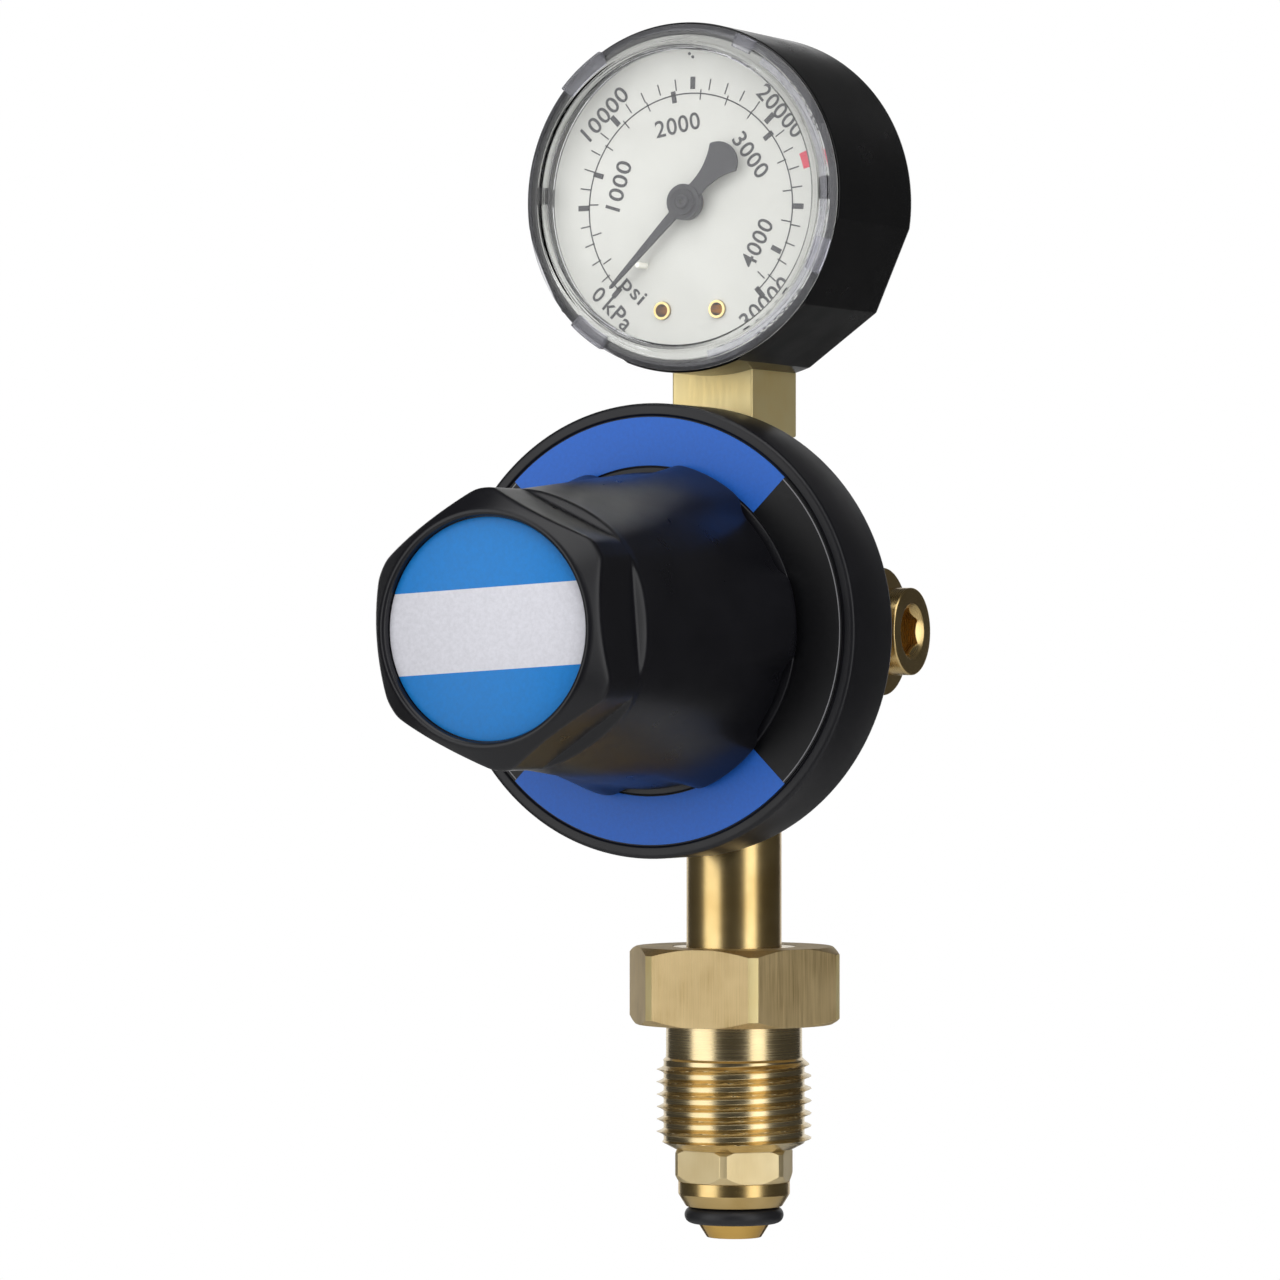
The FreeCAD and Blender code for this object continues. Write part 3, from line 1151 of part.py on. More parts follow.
def make_pointer():
    """Hub and blade are one moulding; the blade points to the zero mark at rest."""
    hub = turned("pointer_hub", "Y", [
        ("arbor_radius + thread_gap", "pointer_front + dimple_depth"), ("hub_radius_small", "pointer_front"),
        ("hub_radius_small", "pointer_front + hub_step"), ("hub_radius_large", "pointer_front + hub_step"),
        ("hub_radius_large", "hub_back_face"), ("arbor_radius + thread_gap", "hub_back_face"),
    ], POINTER_AXIS)
    hub_edge = size("hub_radius_large")
    tip = size("pointer_reach")
    shoulder = tip - size("tip_point")
    tail = -size("pointer_tail")
    corner = -size("tail_corner")
    neck = -hub_edge - size("neck_place")
    waist = (neck + corner) / 2 + size("waist_shift")
    wide = size("tail_half_width")
    narrow = size("waist_half_width")
    half = size("blade_half_width")
    point = size("blade_tip_half_width")
    neck_half = size("neck_half_width")
    rest = math.radians(size("pointer_rest"))

    def spot(along, across):
        return Vector(along * math.cos(rest) - across * math.sin(rest), 0,
                      along * math.sin(rest) + across * math.cos(rest))

    upper = Part.Arc(spot(neck, neck_half), spot(waist, narrow), spot(corner, wide))
    end = Part.Arc(spot(corner, wide), spot(tail, 0), spot(corner, -wide))
    lower = Part.Arc(spot(corner, -wide), spot(waist, -narrow), spot(neck, -neck_half))
    corners = [spot(neck, -neck_half), spot(0, -neck_half), spot(hub_edge, -half),
               spot(shoulder, -point), spot(tip, 0), spot(shoulder, point),
               spot(hub_edge, half), spot(0, neck_half), spot(neck, neck_half)]
    edges = [upper.toShape(), end.toShape(), lower.toShape()]
    for one, other in zip(corners, corners[1:]):
        edges.append(Part.makeLine(one, other))
    thickness = size("blade_thickness")
    blade = Part.Face(Part.Wire(edges)).extrude(Vector(0, thickness, 0))
    bore = size("arbor_radius") + size("thread_gap")
    blade = blade.cut(Part.makeCylinder(bore, thickness, Vector(), Vector(0, 1, 0)))
    level = size("pointer_front") + size("hub_step") + size("blade_setback")
    plate = set_shape("pointer_blade", blade, Vector(0, level, size("pointer_axis")))
    return fuse("pointer", hub, plate)


# Gauge socket: square block inside and under the case, screwed stub below it
def make_gauge_socket():
    block = box("socket_block", "block_width", "block_depth", "block_end - block_bottom",
                ("0 - block_width / 2", "block_front", "block_bottom"))
    soft = doc.addObject("Part::Chamfer", "socket_soft_block")
    soft.Base = block
    doc.recompute()
    amount = size("block_chamfer")
    low = size("block_bottom")
    soft.Edges = [
        (number, amount, amount) for number, edge in enumerate(block.Shape.Edges, start=1)
        if all(abs(end.Z - low) < 1e-6 for end in edge.Vertexes)
    ]
    end = "block_bottom - stub_length + stub_gap"
    stub = turned("socket_stub", "Z", [
        ("0", end), ("stub_radius - stub_chamfer", end), ("stub_radius", end + " + stub_chamfer"),
        ("stub_radius", "block_bottom + overrun"), ("0", "block_bottom + overrun"),
    ])
    cross_height = "gauge_axis - tube_radius * sin(tube_start)"
    bore = cylinder("socket_bore", "passage_radius", cross_height + " - block_bottom + stub_length",
                    "Z", ("0", "0", "block_bottom - stub_length"))
    cross_bore = cylinder("socket_cross_bore", "tube_half_height - tube_wall",
                          "tube_radius * cos(tube_start)", "X", ("0", "0", cross_height))
    seat = tube_shape("socket_tube_seat", size("thread_gap"))
    return cut("gauge_socket", fuse("socket_blank", soft, stub), bore, cross_bore, seat)


def tube_shape(name, extra):
    """The bourdon tube's outer form, larger all round by the extra."""
    section = Part.Ellipse(Vector(), size("tube_half_width") + extra, size("tube_half_height") + extra)
    edge = section.toShape()
    edge.rotate(Vector(), Vector(0, 0, 1), 90)
    edge.translate(Vector(size("tube_radius"), 0, 0))
    face = Part.Face(Part.Wire([edge]))
    face.rotate(Vector(), Vector(0, 1, 0), size("tube_start"))
    solid = face.revolve(Vector(), Vector(0, 1, 0), -size("tube_span"))
    return set_shape(name, solid, Vector(0, 0, size("gauge_axis")))


def make_bourdon_tube():
    return cut("bourdon_tube", tube_shape("tube_outside", 0), tube_shape("tube_inside", -size("tube_wall")))


def tube_end():
    """Where the tube's free end lies, seen from the front: across and up from the case's axis."""
    angle = math.radians(size("tube_span") - size("tube_start"))
    return size("tube_radius") * math.cos(angle), size("tube_radius") * math.sin(angle)


def tip_pin():
    """The pin that joins the tube's end to the link."""
    angle = math.radians(size("tube_span") - size("tube_start"))
    across, up = tube_end()
    along = size("tip_size") / 2 + size("face_gap")
    return across - along * math.sin(angle), up + along * math.cos(angle)


def make_tube_tip():
    """End piece brazed to the tube, with the link's pin on its front."""
    across, up = tip_pin()
    edge = size("tip_size")
    deep = 2 * size("tube_half_width")
    block = Part.makeBox(edge, deep, edge, Vector(-edge / 2, -deep / 2, -edge / 2))
    block.rotate(Vector(), Vector(0, 1, 0), size("tube_start") - size("tube_span"))
    root = size("overrun")
    reach = -deep / 2 - size("link_front") + size("pin_overhang")
    pin = Part.makeCylinder(size("link_pin_radius"), reach + root, Vector(0, root - deep / 2, 0),
                            Vector(0, -1, 0))
    at = Vector(across, 0, size("gauge_axis") + up)
    return set_shape("tube_tip", block.fuse(pin), at)


# Movement: plates, pillars, sector, pinion, link and hairspring
def make_movement_plates():
    made = []
    low = "block_end + face_gap"
    height = "pointer_axis + plate_over - block_end - face_gap"
    for name, front in (("movement_front_plate", "plate_front"), ("movement_back_plate", "rear_plate_front")):
        sheet_metal = box(name + "_blank", "2 * plate_half_width", "plate_sheet", height,
                          ("0 - plate_half_width", front, low))
        holes = []
        for hole, axis in (("arbor", "pointer_axis"), ("pivot", "sector_axis")):
            holes.append(cylinder(f"{name}_{hole}", "arbor_radius + running_gap",
                                  "plate_sheet + 2 * overrun", "Y", ("0", front + " - overrun", axis)))
        made.append(cut(name, sheet_metal, *holes))
    return made


def make_movement_pillars():
    pillars = []
    for corner, (sign, height) in enumerate((
        ("0 - ", "block_end + pillar_inset"), ("", "block_end + pillar_inset"),
        ("0 - ", "pointer_axis + plate_over - pillar_inset"),
        ("", "pointer_axis + plate_over - pillar_inset"),
    )):
        pillars.append(cylinder(f"pillar_{corner}", "pillar_radius", "plate_spacing", "Y",
                                (sign + "pillar_place", "plate_back", height)))
    return group("movement_pillars", *pillars)


def tooth_points(radius, middle, pitch_angle, taper):
    """Corners of one tooth round the origin: radial flanks below the pitch circle, tapered above."""
    half = pitch_angle * size("tooth_share") / 2
    root = radius - size("tooth_root")
    tip = radius + size("tooth_height")
    corners = ((root, -half), (radius, -half), (tip, -half * taper),
               (tip, half * taper), (radius, half), (root, half))
    return [Vector(r * math.cos(middle + a), 0, r * math.sin(middle + a)) for r, a in corners]


def closed_face(points):
    return Part.Face(Part.makePolygon(points + points[:1]))


def make_pinion_arbor():
    teeth = int(size("pinion_teeth"))
    step = 2 * math.pi / teeth
    points = []
    for k in range(teeth):
        points += tooth_points(size("pinion_radius"), -math.pi / 2 + step * (k + 0.5), step,
                               size("pinion_tip_share"))
    length = size("sector_thickness") + 2 * size("pinion_overhang")
    start = size("gear_middle") - length / 2
    pinion = closed_face(points).extrude(Vector(0, length, 0))
    pinion.translate(Vector(0, start, 0))
    front = size("pointer_front") + size("hub_step") + size("arbor_setback")
    back = size("rear_plate_back") + size("arbor_overhang")
    arbor = Part.makeCylinder(size("arbor_radius"), back - front, Vector(0, front, 0), Vector(0, 1, 0))
    return set_shape("pinion_arbor", pinion.fuse(arbor), Vector(0, 0, size("pointer_axis")))


def make_sector_gear():
    radius = size("sector_radius")
    step = 2 * math.pi / size("sector_teeth")
    swing = math.radians(size("pointer_span")) * size("pinion_teeth") / size("sector_teeth")
    spare = int(size("spare_teeth"))
    teeth = int(swing / step) + 2 * spare + 1
    first = math.pi / 2 + spare * step
    root = radius - size("tooth_root")
    points = [Vector()]
    for k in range(teeth):
        points += reversed(tooth_points(radius, first - k * step, step, size("sector_tip_share")))
    plate = closed_face(points)
    opening = []
    for r in (root - size("rim_width"), size("window_start")):
        inset = size("arm_half_width") / r
        for a in (first - inset, first - (teeth - 1) * step + inset):
            opening.append(Vector(r * math.cos(a), 0, r * math.sin(a)))
    window = closed_face([opening[0], opening[1], opening[3], opening[2]])
    plate = plate.cut(window)
    thickness = size("sector_thickness")
    plate = plate.extrude(Vector(0, thickness, 0))
    front = size("gear_middle") - thickness / 2
    plate.translate(Vector(0, front, 0))
    arm_angle = math.radians(size("link_turn"))
    arm_end = Vector(size("link_arm") * math.cos(arm_angle), 0, size("link_arm") * math.sin(arm_angle))
    boss = Part.makeCylinder(size("arm_boss_radius"), thickness, Vector(arm_end.x, front, arm_end.z),
                             Vector(0, 1, 0))
    hub = Part.makeCylinder(size("sector_hub_radius"), thickness, Vector(0, front, 0), Vector(0, 1, 0))
    side = Vector(-math.sin(arm_angle), 0, math.cos(arm_angle)) * size("arm_half_width")
    arm = closed_face([side, arm_end + side, arm_end - side, side * -1]).extrude(Vector(0, thickness, 0))
    arm.translate(Vector(0, front, 0))
    pivot_start = size("plate_front") - size("pivot_overhang")
    pivot_end = size("rear_plate_back") + size("pivot_overhang")
    pivot = Part.makeCylinder(size("arbor_radius"), pivot_end - pivot_start, Vector(0, pivot_start, 0),
                              Vector(0, 1, 0))
    whole = plate.fuse([boss, hub, arm, pivot])
    overrun = size("overrun")
    pin_hole = Part.makeCylinder(size("link_pin_radius") + size("running_gap"), thickness + 2 * overrun,
                                 Vector(arm_end.x, front - overrun, arm_end.z), Vector(0, 1, 0))
    return set_shape("sector_gear", whole.cut(pin_hole), Vector(0, 0, size("sector_axis")))


def make_movement_link():
    """Flat link from the tube's end to the sector's arm, with the arm's pin riveted in it."""
    angle = math.radians(size("link_turn"))
    arm_end = Vector(size("link_arm") * math.cos(angle), 0,
                     size("sector_axis") + size("link_arm") * math.sin(angle))
    across, up = tip_pin()
    far_end = Vector(across, 0, size("gauge_axis") + up)
    along = far_end - arm_end
    half = size("link_half_width")
    side = along.cross(Vector(0, 1, 0)).normalize() * half
    thick = Vector(0, size("link_thickness"), 0)
    strip = closed_face([arm_end + side, far_end + side, far_end - side, arm_end - side]).extrude(thick)
    ends = [Part.makeCylinder(half, thick.y, spot, Vector(0, 1, 0)) for spot in (arm_end, far_end)]
    link = strip.fuse(ends)
    link = link.cut(Part.makeCylinder(size("link_pin_radius") + size("thread_gap"), thick.y, far_end,
                                      Vector(0, 1, 0)))
    root = size("pin_root")
    pin_length = root + size("face_gap") + size("sector_thickness") + size("pin_root")
    pin = Part.makeCylinder(size("link_pin_radius"), pin_length, arm_end + Vector(0, root, 0),
                            Vector(0, -1, 0))
    return set_shape("movement_link", link.fuse(pin), Vector(0, size("link_front"), 0))


def make_hairspring():
    """Flat spiral round the arbor, in front of the pinion."""
    inner = size("hairspring_inner")
    outer = size("hairspring_outer")
    turns = size("hairspring_turns")
    per_turn = 12
    points = []
    for k in range(int(turns * per_turn) + 1):
        angle = 2 * math.pi * k / per_turn
        radius = inner + (outer - inner) * k / (turns * per_turn)
        points.append(Vector(radius * math.cos(angle), 0, radius * math.sin(angle)))
    curve = Part.BSplineCurve()
    curve.interpolate(points)
    width = size("hairspring_width")
    height = size("hairspring_height")
    section = Part.makePolygon([
        Vector(inner, -height / 2, 0), Vector(inner + width, -height / 2, 0),
        Vector(inner + width, height / 2, 0), Vector(inner, height / 2, 0), Vector(inner, -height / 2, 0),
    ])
    coil = Part.Wire([curve.toShape()]).makePipeShell([section], True, True)
    level = size("plate_back") + size("hairspring_level")
    return set_shape("hairspring", coil, Vector(0, level, size("pointer_axis")))


def make_all():
    """Every piece of the regulator, in the order in which it goes together."""
    pieces = [
        make_body(), make_valve_nozzle(), make_valve_stem(), make_valve_seat_disc(), make_valve_spring(),
        make_rear_cap(), make_rear_cap_seal(), make_diaphragm(), make_diaphragm_plate(),
        make_diaphragm_washer(), make_slip_ring(), make_bonnet(), make_ring_label(), make_main_spring(),
        make_spring_button(), make_adjusting_screw(), make_knob(), make_knob_label(),
        make_relief_body(), make_relief_disc(), make_relief_spring(), make_relief_cap(),
        make_outlet_fitting(), make_port_plug(), make_port_plug_seal(),
        make_inlet_stem(), make_inlet_filter(), make_inlet_nut(), make_inlet_o_ring(),
        make_gauge_socket(), make_bourdon_tube(), make_tube_tip(), *make_movement_plates(),
        make_movement_pillars(), make_sector_gear(), make_pinion_arbor(), make_movement_link(),
        make_hairspring(), make_gauge_dial(), make_dial_eyelets(), make_pointer_stop(), make_pointer(),
        make_gauge_case(), make_blowout_plug(), make_gauge_lens(),
    ]
    doc.recompute()
    return pieces


def check_and_write(pieces):
    for thing in doc.Objects:
        if "Invalid" in thing.State or "Error" in thing.State:
            raise RuntimeError(f"{thing.Label} did not compute: {thing.State}")
    os.makedirs("parts", exist_ok=True)
    for piece in pieces:
        shape = piece.Shape
        if shape.isNull() or not shape.isValid() or not shape.Solids:
            raise RuntimeError(f"{piece.Label} has no valid solid")
        print(f"{piece.Label}: {len(shape.Solids)} solid(s), {shape.Volume:.2f} mm3")
    for piece in pieces:
        piece.Shape.exportStep(f"parts/{piece.Label}.step")


check_and_write(make_all())
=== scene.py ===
import bmesh
import bpy
import math
from mathutils import Matrix, Vector


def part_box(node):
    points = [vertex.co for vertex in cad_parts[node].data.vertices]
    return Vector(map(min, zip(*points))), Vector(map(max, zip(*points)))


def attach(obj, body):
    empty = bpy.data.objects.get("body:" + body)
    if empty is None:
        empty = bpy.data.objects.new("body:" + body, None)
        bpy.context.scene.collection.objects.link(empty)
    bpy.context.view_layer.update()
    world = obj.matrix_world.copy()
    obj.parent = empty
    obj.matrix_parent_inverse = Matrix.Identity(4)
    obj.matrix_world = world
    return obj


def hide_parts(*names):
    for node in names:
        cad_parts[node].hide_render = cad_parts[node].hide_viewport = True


# Gas cylinder regulator. X is to the right, Y to the rear and Z up. Lengths are in millimetres and
# angles in degrees, unless a comment says otherwise.
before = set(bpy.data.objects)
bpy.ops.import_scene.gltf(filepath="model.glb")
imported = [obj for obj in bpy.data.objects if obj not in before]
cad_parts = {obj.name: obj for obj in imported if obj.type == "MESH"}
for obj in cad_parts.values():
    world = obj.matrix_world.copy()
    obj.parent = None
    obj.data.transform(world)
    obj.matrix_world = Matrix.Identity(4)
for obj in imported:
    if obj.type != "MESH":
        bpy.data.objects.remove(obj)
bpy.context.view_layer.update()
MM = 0.001
TAU = 2 * math.pi

# Heights of the axes, and the places of the main faces along Y
KNOB_AXIS = 74.0
GAUGE_AXIS = 136.35
POINTER_AXIS = 135.75
KNOB_FRONT = -76.3
KNOB_REAR = -28.8
BONNET_FRONT = -27.7
DIAL_FACE = -13.9
CASE_FRONT = -17.1
CASE_BACK = 8.0
CASE_RADIUS = 25.2

KNOB_CENTRE = (0, 0, KNOB_AXIS)
GAUGE_CENTRE = (0, 0, GAUGE_AXIS)
STEM_CENTRE = (0, 0, 0)

# Turns of the hexagons, in radians
KNOB_TURN = math.radians(4.5)
NUT_TURN = math.radians(6.1)
NIPPLE_TURN = math.radians(46)
PLUG_TURN = math.radians(30)

link = bpy.context.scene.collection.objects.link


# Mesh helpers
def add_mesh(name, verts, faces, body, slot=None, replaces=(), sharp=None, weld=False):
    """A new piece from points in millimetres, riding on a body."""
    mesh = bpy.data.meshes.new(name)
    mesh.from_pydata([Vector(v) * MM for v in verts], [], faces)
    if weld:
        weld_points(mesh)
    mesh.update()
    mesh.shade_smooth()
    if sharp is not None:
        mesh.set_sharp_from_angle(angle=math.radians(sharp))
    obj = bpy.data.objects.new(name, mesh)
    link(obj)
    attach(obj, body)
    if replaces:
        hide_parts(*replaces)
    return obj


def weld_points(mesh):
    """Joins points that coincide and turns all faces outward. Distances are in metres."""
    bm = bmesh.new()
    bm.from_mesh(mesh)
    bmesh.ops.remove_doubles(bm, verts=bm.verts, dist=1e-7)
    bmesh.ops.dissolve_degenerate(bm, dist=1e-8, edges=bm.edges)
    bmesh.ops.recalc_face_normals(bm, faces=bm.faces)
    bm.to_mesh(mesh)
    bm.free()


def spot(axis, radius, angle, along, centre):
    """A point at a radius and angle round an axis, at a distance along it."""
    across = (radius * math.cos(angle), radius * math.sin(angle))
    if axis == "X":
        return (centre[0] + along, centre[1] + across[0], centre[2] + across[1])
    if axis == "Y":
        return (centre[0] + across[0], centre[1] + along, centre[2] + across[1])
    return (centre[0] + across[0], centre[1] + across[1], centre[2] + along)


def columns(axis, centre, angles, profile_at, closed=False):
    """Points and faces of a form swept round an axis, whose profile may change with the angle.

    profile_at gives the same number of (radius, along) pairs at each angle. A closed profile
    joins its last pair to its first.
    """
    rows = [profile_at(a) for a in angles]
    count = len(rows[0])
    verts = [spot(axis, r, a, d, centre) for a, row in zip(angles, rows) for r, d in row]
    faces = []
    for i in range(len(angles)):
        j = (i + 1) % len(angles)
        for k in range(count if closed else count - 1):
            n = (k + 1) % count
            faces.append((i * count + k, j * count + k, j * count + n, i * count + n))
    return verts, faces


def even(count, turn=0.0):
    return [turn + TAU * k / count for k in range(count)]


FILLET_SHARE = 0.45


def soft_profile(points, fillet=0.2, steps=4):
    """A profile whose corners are rounded. A point is (radius, along), or (radius, along, fillet)."""
    out = []
    for k, point in enumerate(points):
        r, d = point[0], point[1]
        size = point[2] if len(point) > 2 else fillet
        here = Vector((r, d))
        if k in (0, len(points) - 1) or size <= 0:
            out.append((r, d))
            continue
        before = Vector(points[k - 1][:2]) - here
        after = Vector(points[k + 1][:2]) - here
        reach = min(size, before.length * FILLET_SHARE, after.length * FILLET_SHARE)
        start, end = here + before.normalized() * reach, here + after.normalized() * reach
        for s in range(steps + 1):
            t = s / steps
            p = start * (1 - t) ** 2 + here * 2 * t * (1 - t) + end * t ** 2
            out.append((p.x, p.y))
    return out


def lathe(name, axis, centre, points, body, slot=None, replaces=(), segments=160, fillet=0.2, closed=False):
    """A turned piece with softly broken corners."""
    profile = soft_profile(points, fillet)
    verts, faces = columns(axis, centre, even(segments), lambda a: profile, closed)
    return add_mesh(name, verts, faces, body, slot, replaces, sharp=50, weld=True)


def join_meshes(parts):
    """Points and faces of several meshes as one."""
    verts, faces = [], []
    for part_verts, part_faces in parts:
        start = len(verts)
        verts += part_verts
        faces += [tuple(start + i for i in face) for face in part_faces]
    return verts, faces


def hexagon_angles(corner_radius, flats, turn, steps=6):
    """Angles, in radians, round a hexagon bar whose corners are turned to a radius."""
    edge = math.acos(min(1, flats / 2 / corner_radius))
    angles = []
    for side in range(6):
        middle = turn + math.radians(30 + 60 * side)
        for k in range(-steps, steps):
            angles.append(middle + edge * k / steps)
        rest = math.radians(30) - edge
        angles.append(middle + edge)
        for k in (1, 2, 3):
            angles.append(middle + edge + 2 * rest * k / 4)
    return angles


def hexagon_radius(angle, flats, turn, limit):
    """Radius of a hexagon bar at an angle, no more than the limit."""
    side = (angle - turn) % math.radians(60) - math.radians(30)
    return min(limit, flats / 2 / math.cos(side))


def bevel(obj, width, segments=3, angle=20):
    soft = obj.modifiers.new("soft_edges", "BEVEL")
    soft.width = width * MM
    soft.segments = segments
    soft.limit_method = "ANGLE"
    soft.angle_limit = math.radians(angle)
    soft.harden_normals = True
    return obj


# Material helpers: the roughness of all noise, and the stretch of its values that is used
NOISE_ROUGHNESS = 0.55
NOISE_LOW, NOISE_HIGH = 0.3, 0.7


def new_material(name):
    mat = bpy.data.materials.new(name)
    mat.use_nodes = True
    tree = mat.node_tree
    shader = tree.nodes["Principled BSDF"]
    return mat, tree, shader


def node(tree, kind, **values):
    made = tree.nodes.new(kind)
    for key, value in values.items():
        setattr(made, key, value)
    return made


def set_inputs(item, values):
    """Gives the inputs of a node their values, or links them to sockets of other nodes."""
    for key, value in values.items():
        if isinstance(value, bpy.types.NodeSocket):
            item.id_data.links.new(value, item.inputs[key])
        else:
            item.inputs[key].default_value = value


def coords(tree, scale=(1, 1, 1)):
    """Position on the object in millimetres, stretched by a scale."""
    place = node(tree, "ShaderNodeTexCoord")
    grow = node(tree, "ShaderNodeMapping")
    set_inputs(grow, {"Scale": tuple(s / MM for s in scale), "Vector": place.outputs["Object"]})
    return grow.outputs["Vector"]


def noise(tree, vector, scale, detail):
    tex = node(tree, "ShaderNodeTexNoise")
    set_inputs(tex, {"Vector": vector, "Scale": scale, "Detail": detail, "Roughness": NOISE_ROUGHNESS})
    return tex.outputs["Fac"]


def spread(tree, value, low, high):
    """The middle stretch of a noise laid out from low to high."""
    remap = node(tree, "ShaderNodeMapRange")
    set_inputs(remap, {"Value": value, "From Min": NOISE_LOW, "From Max": NOISE_HIGH, "To Min": low,
                       "To Max": high})
    return remap.outputs["Result"]


def mix_colour(tree, factor, one, other):
    """One colour at a factor of 0 and the other at 1. Each may be a value or a socket."""
    blend = node(tree, "ShaderNodeMix", data_type="RGBA")
    one, other = (c + (1,) if isinstance(c, tuple) else c for c in (one, other))
    set_inputs(blend, {0: factor, 6: one, 7: other})
    return blend.outputs[2]


def mix_shaders(tree, factor, one, other, output):
    """One shader at a factor of 0 and the other at 1, on the surface of an output."""
    mixed = node(tree, "ShaderNodeMixShader")
    set_inputs(mixed, {0: factor, 1: one.outputs[0], 2: other.outputs[0]})
    set_inputs(tree.nodes[output], {"Surface": mixed.outputs[0]})


def arithmetic(tree, operation, one, other=None):
    calc = node(tree, "ShaderNodeMath", operation=operation)
    set_inputs(calc, {0: one} if other is None else {0: one, 1: other})
    return calc.outputs[0]


def bump(tree, shader, height, strength, distance, soft_edge=0.0):
    raised = node(tree, "ShaderNodeBump")
    set_inputs(raised, {"Height": height, "Strength": strength, "Distance": distance * MM})
    if soft_edge:
        edge = node(tree, "ShaderNodeBevel", samples=4)
        set_inputs(edge, {"Radius": soft_edge * MM})
        set_inputs(raised, {"Normal": edge.outputs["Normal"]})
    set_inputs(shader, {"Normal": raised.outputs["Normal"]})


METAL_CLOUD = 0.12
PLASTIC_CLOUD = 0.15


def metal(name, dark, light, rough=(0.2, 0.3), grain=(1, 1, 1), grain_scale=1.0, depth=0.01,
          strength=0.3, soft_edge=0.0, anisotropic=0.0, around=None, streak=0.35, metallic=1.0):
    """Metal between two colours, with a grain stretched along X, Y and Z that varies its gloss."""
    mat, tree, shader = new_material(name)
    lines = noise(tree, coords(tree, grain), grain_scale, 4)
    cloud = noise(tree, coords(tree), METAL_CLOUD, 2)
    tone = mix_colour(tree, spread(tree, cloud, 0, 1), dark, light)
    fine = mix_colour(tree, spread(tree, lines, 0, streak), tone, light)
    set_inputs(shader, {"Base Color": fine, "Metallic": metallic, "Roughness": spread(tree, lines, *rough)})
    bump(tree, shader, lines, strength, depth, soft_edge)
    if anisotropic:
        tangent = node(tree, "ShaderNodeTangent", direction_type="RADIAL", axis=around)
        set_inputs(shader, {"Anisotropic": anisotropic, "Tangent": tangent.outputs["Tangent"]})
    return mat


def plastic(name, colour, rough=(0.3, 0.4), grain_scale=3.0, depth=0.01, strength=0.2, specular=0.5,
            soft_edge=0.0):
    """Moulded or coated surface with a fine texture and slightly uneven gloss."""
    mat, tree, shader = new_material(name)
    fine = noise(tree, coords(tree), grain_scale, 5)
    cloud = noise(tree, coords(tree), PLASTIC_CLOUD, 3)
    paler = tuple(min(1, c * 1.2 + 0.001) for c in colour)
    tone = mix_colour(tree, spread(tree, cloud, 0, 1), colour, paler)
    set_inputs(shader, {"Base Color": tone, "Roughness": spread(tree, cloud, *rough),
                        "Specular IOR Level": specular})
    bump(tree, shader, fine, strength, depth, soft_edge)
    return mat


# Metals
BRASS_DARK = (0.56, 0.38, 0.14)
BRASS_LIGHT = (0.80, 0.60, 0.28)
LINES_ROUND_Z = (0.05, 0.05, 9)
LINES_ROUND_X = (9, 0.05, 0.05)
turned_brass = metal("turned_brass", BRASS_DARK, BRASS_LIGHT, rough=(0.22, 0.26), grain=LINES_ROUND_Z,
                     depth=0.002, strength=0.05, anisotropic=0.45, around="Z", streak=0.15)
thread_brass = metal("thread_brass", (0.62, 0.48, 0.25), (0.80, 0.65, 0.38), rough=(0.2, 0.3),
                     grain=LINES_ROUND_Z, depth=0.006, strength=0.35)
side_brass = metal("side_turned_brass", BRASS_DARK, BRASS_LIGHT, rough=(0.2, 0.32), grain=LINES_ROUND_X,
                   depth=0.006, strength=0.35, soft_edge=0.15)
brushed_brass = metal("brushed_brass", (0.50, 0.36, 0.16), (0.84, 0.66, 0.36), rough=(0.45, 0.6),
                      grain=(3.6, 3.6, 0.1), depth=0.012, strength=0.6, streak=0.8)
pale_brass = metal("pale_brushed_brass", (0.96, 0.74, 0.31), (1.0, 0.85, 0.45), rough=(0.36, 0.44),
                   grain=(3, 3, 0.2), depth=0.008, strength=0.4, metallic=0.6)
flat_brass = metal("flat_brass", (0.78, 0.62, 0.33), (0.92, 0.78, 0.48), rough=(0.45, 0.55),
                   grain=(6, 6, 0.2), depth=0.008, strength=0.4)
body_brass = metal("machined_brass", BRASS_DARK, (0.74, 0.55, 0.26), rough=(0.28, 0.4), grain=(2, 2, 2),
                   soft_edge=0.25)
golden_brass = metal("golden_brass", (0.62, 0.36, 0.08), (0.86, 0.55, 0.16), rough=(0.1, 0.18),
                     grain=(0.05, 0.05, 6), depth=0.004)
rivet_brass = metal("rivet_brass", (0.62, 0.42, 0.14), (0.88, 0.68, 0.32), rough=(0.16, 0.25),
                    grain=(4, 4, 4), depth=0.004, strength=0.2)
tube_bronze = metal("tube_bronze", (0.5, 0.3, 0.12), (0.74, 0.5, 0.26), rough=(0.25, 0.35),
                    grain=(2, 2, 2), depth=0.006)
sintered = metal("sintered_bronze", (0.32, 0.2, 0.09), (0.6, 0.42, 0.24), rough=(0.5, 0.65),
                 grain_scale=5.0, depth=0.06, strength=0.9)
steel = metal("spring_steel", (0.42, 0.42, 0.43), (0.66, 0.66, 0.67), rough=(0.2, 0.32), grain=(3, 3, 3),
              depth=0.005)
zinc = metal("plated_steel", (0.5, 0.5, 0.5), (0.74, 0.74, 0.74), rough=(0.28, 0.4), grain=(2, 2, 2),
             depth=0.008, soft_edge=0.2)
aluminium = metal("turned_aluminium", (0.62, 0.62, 0.63), (0.8, 0.8, 0.81), rough=(0.25, 0.35),
                  grain=(2, 2, 2), depth=0.006, soft_edge=0.15)

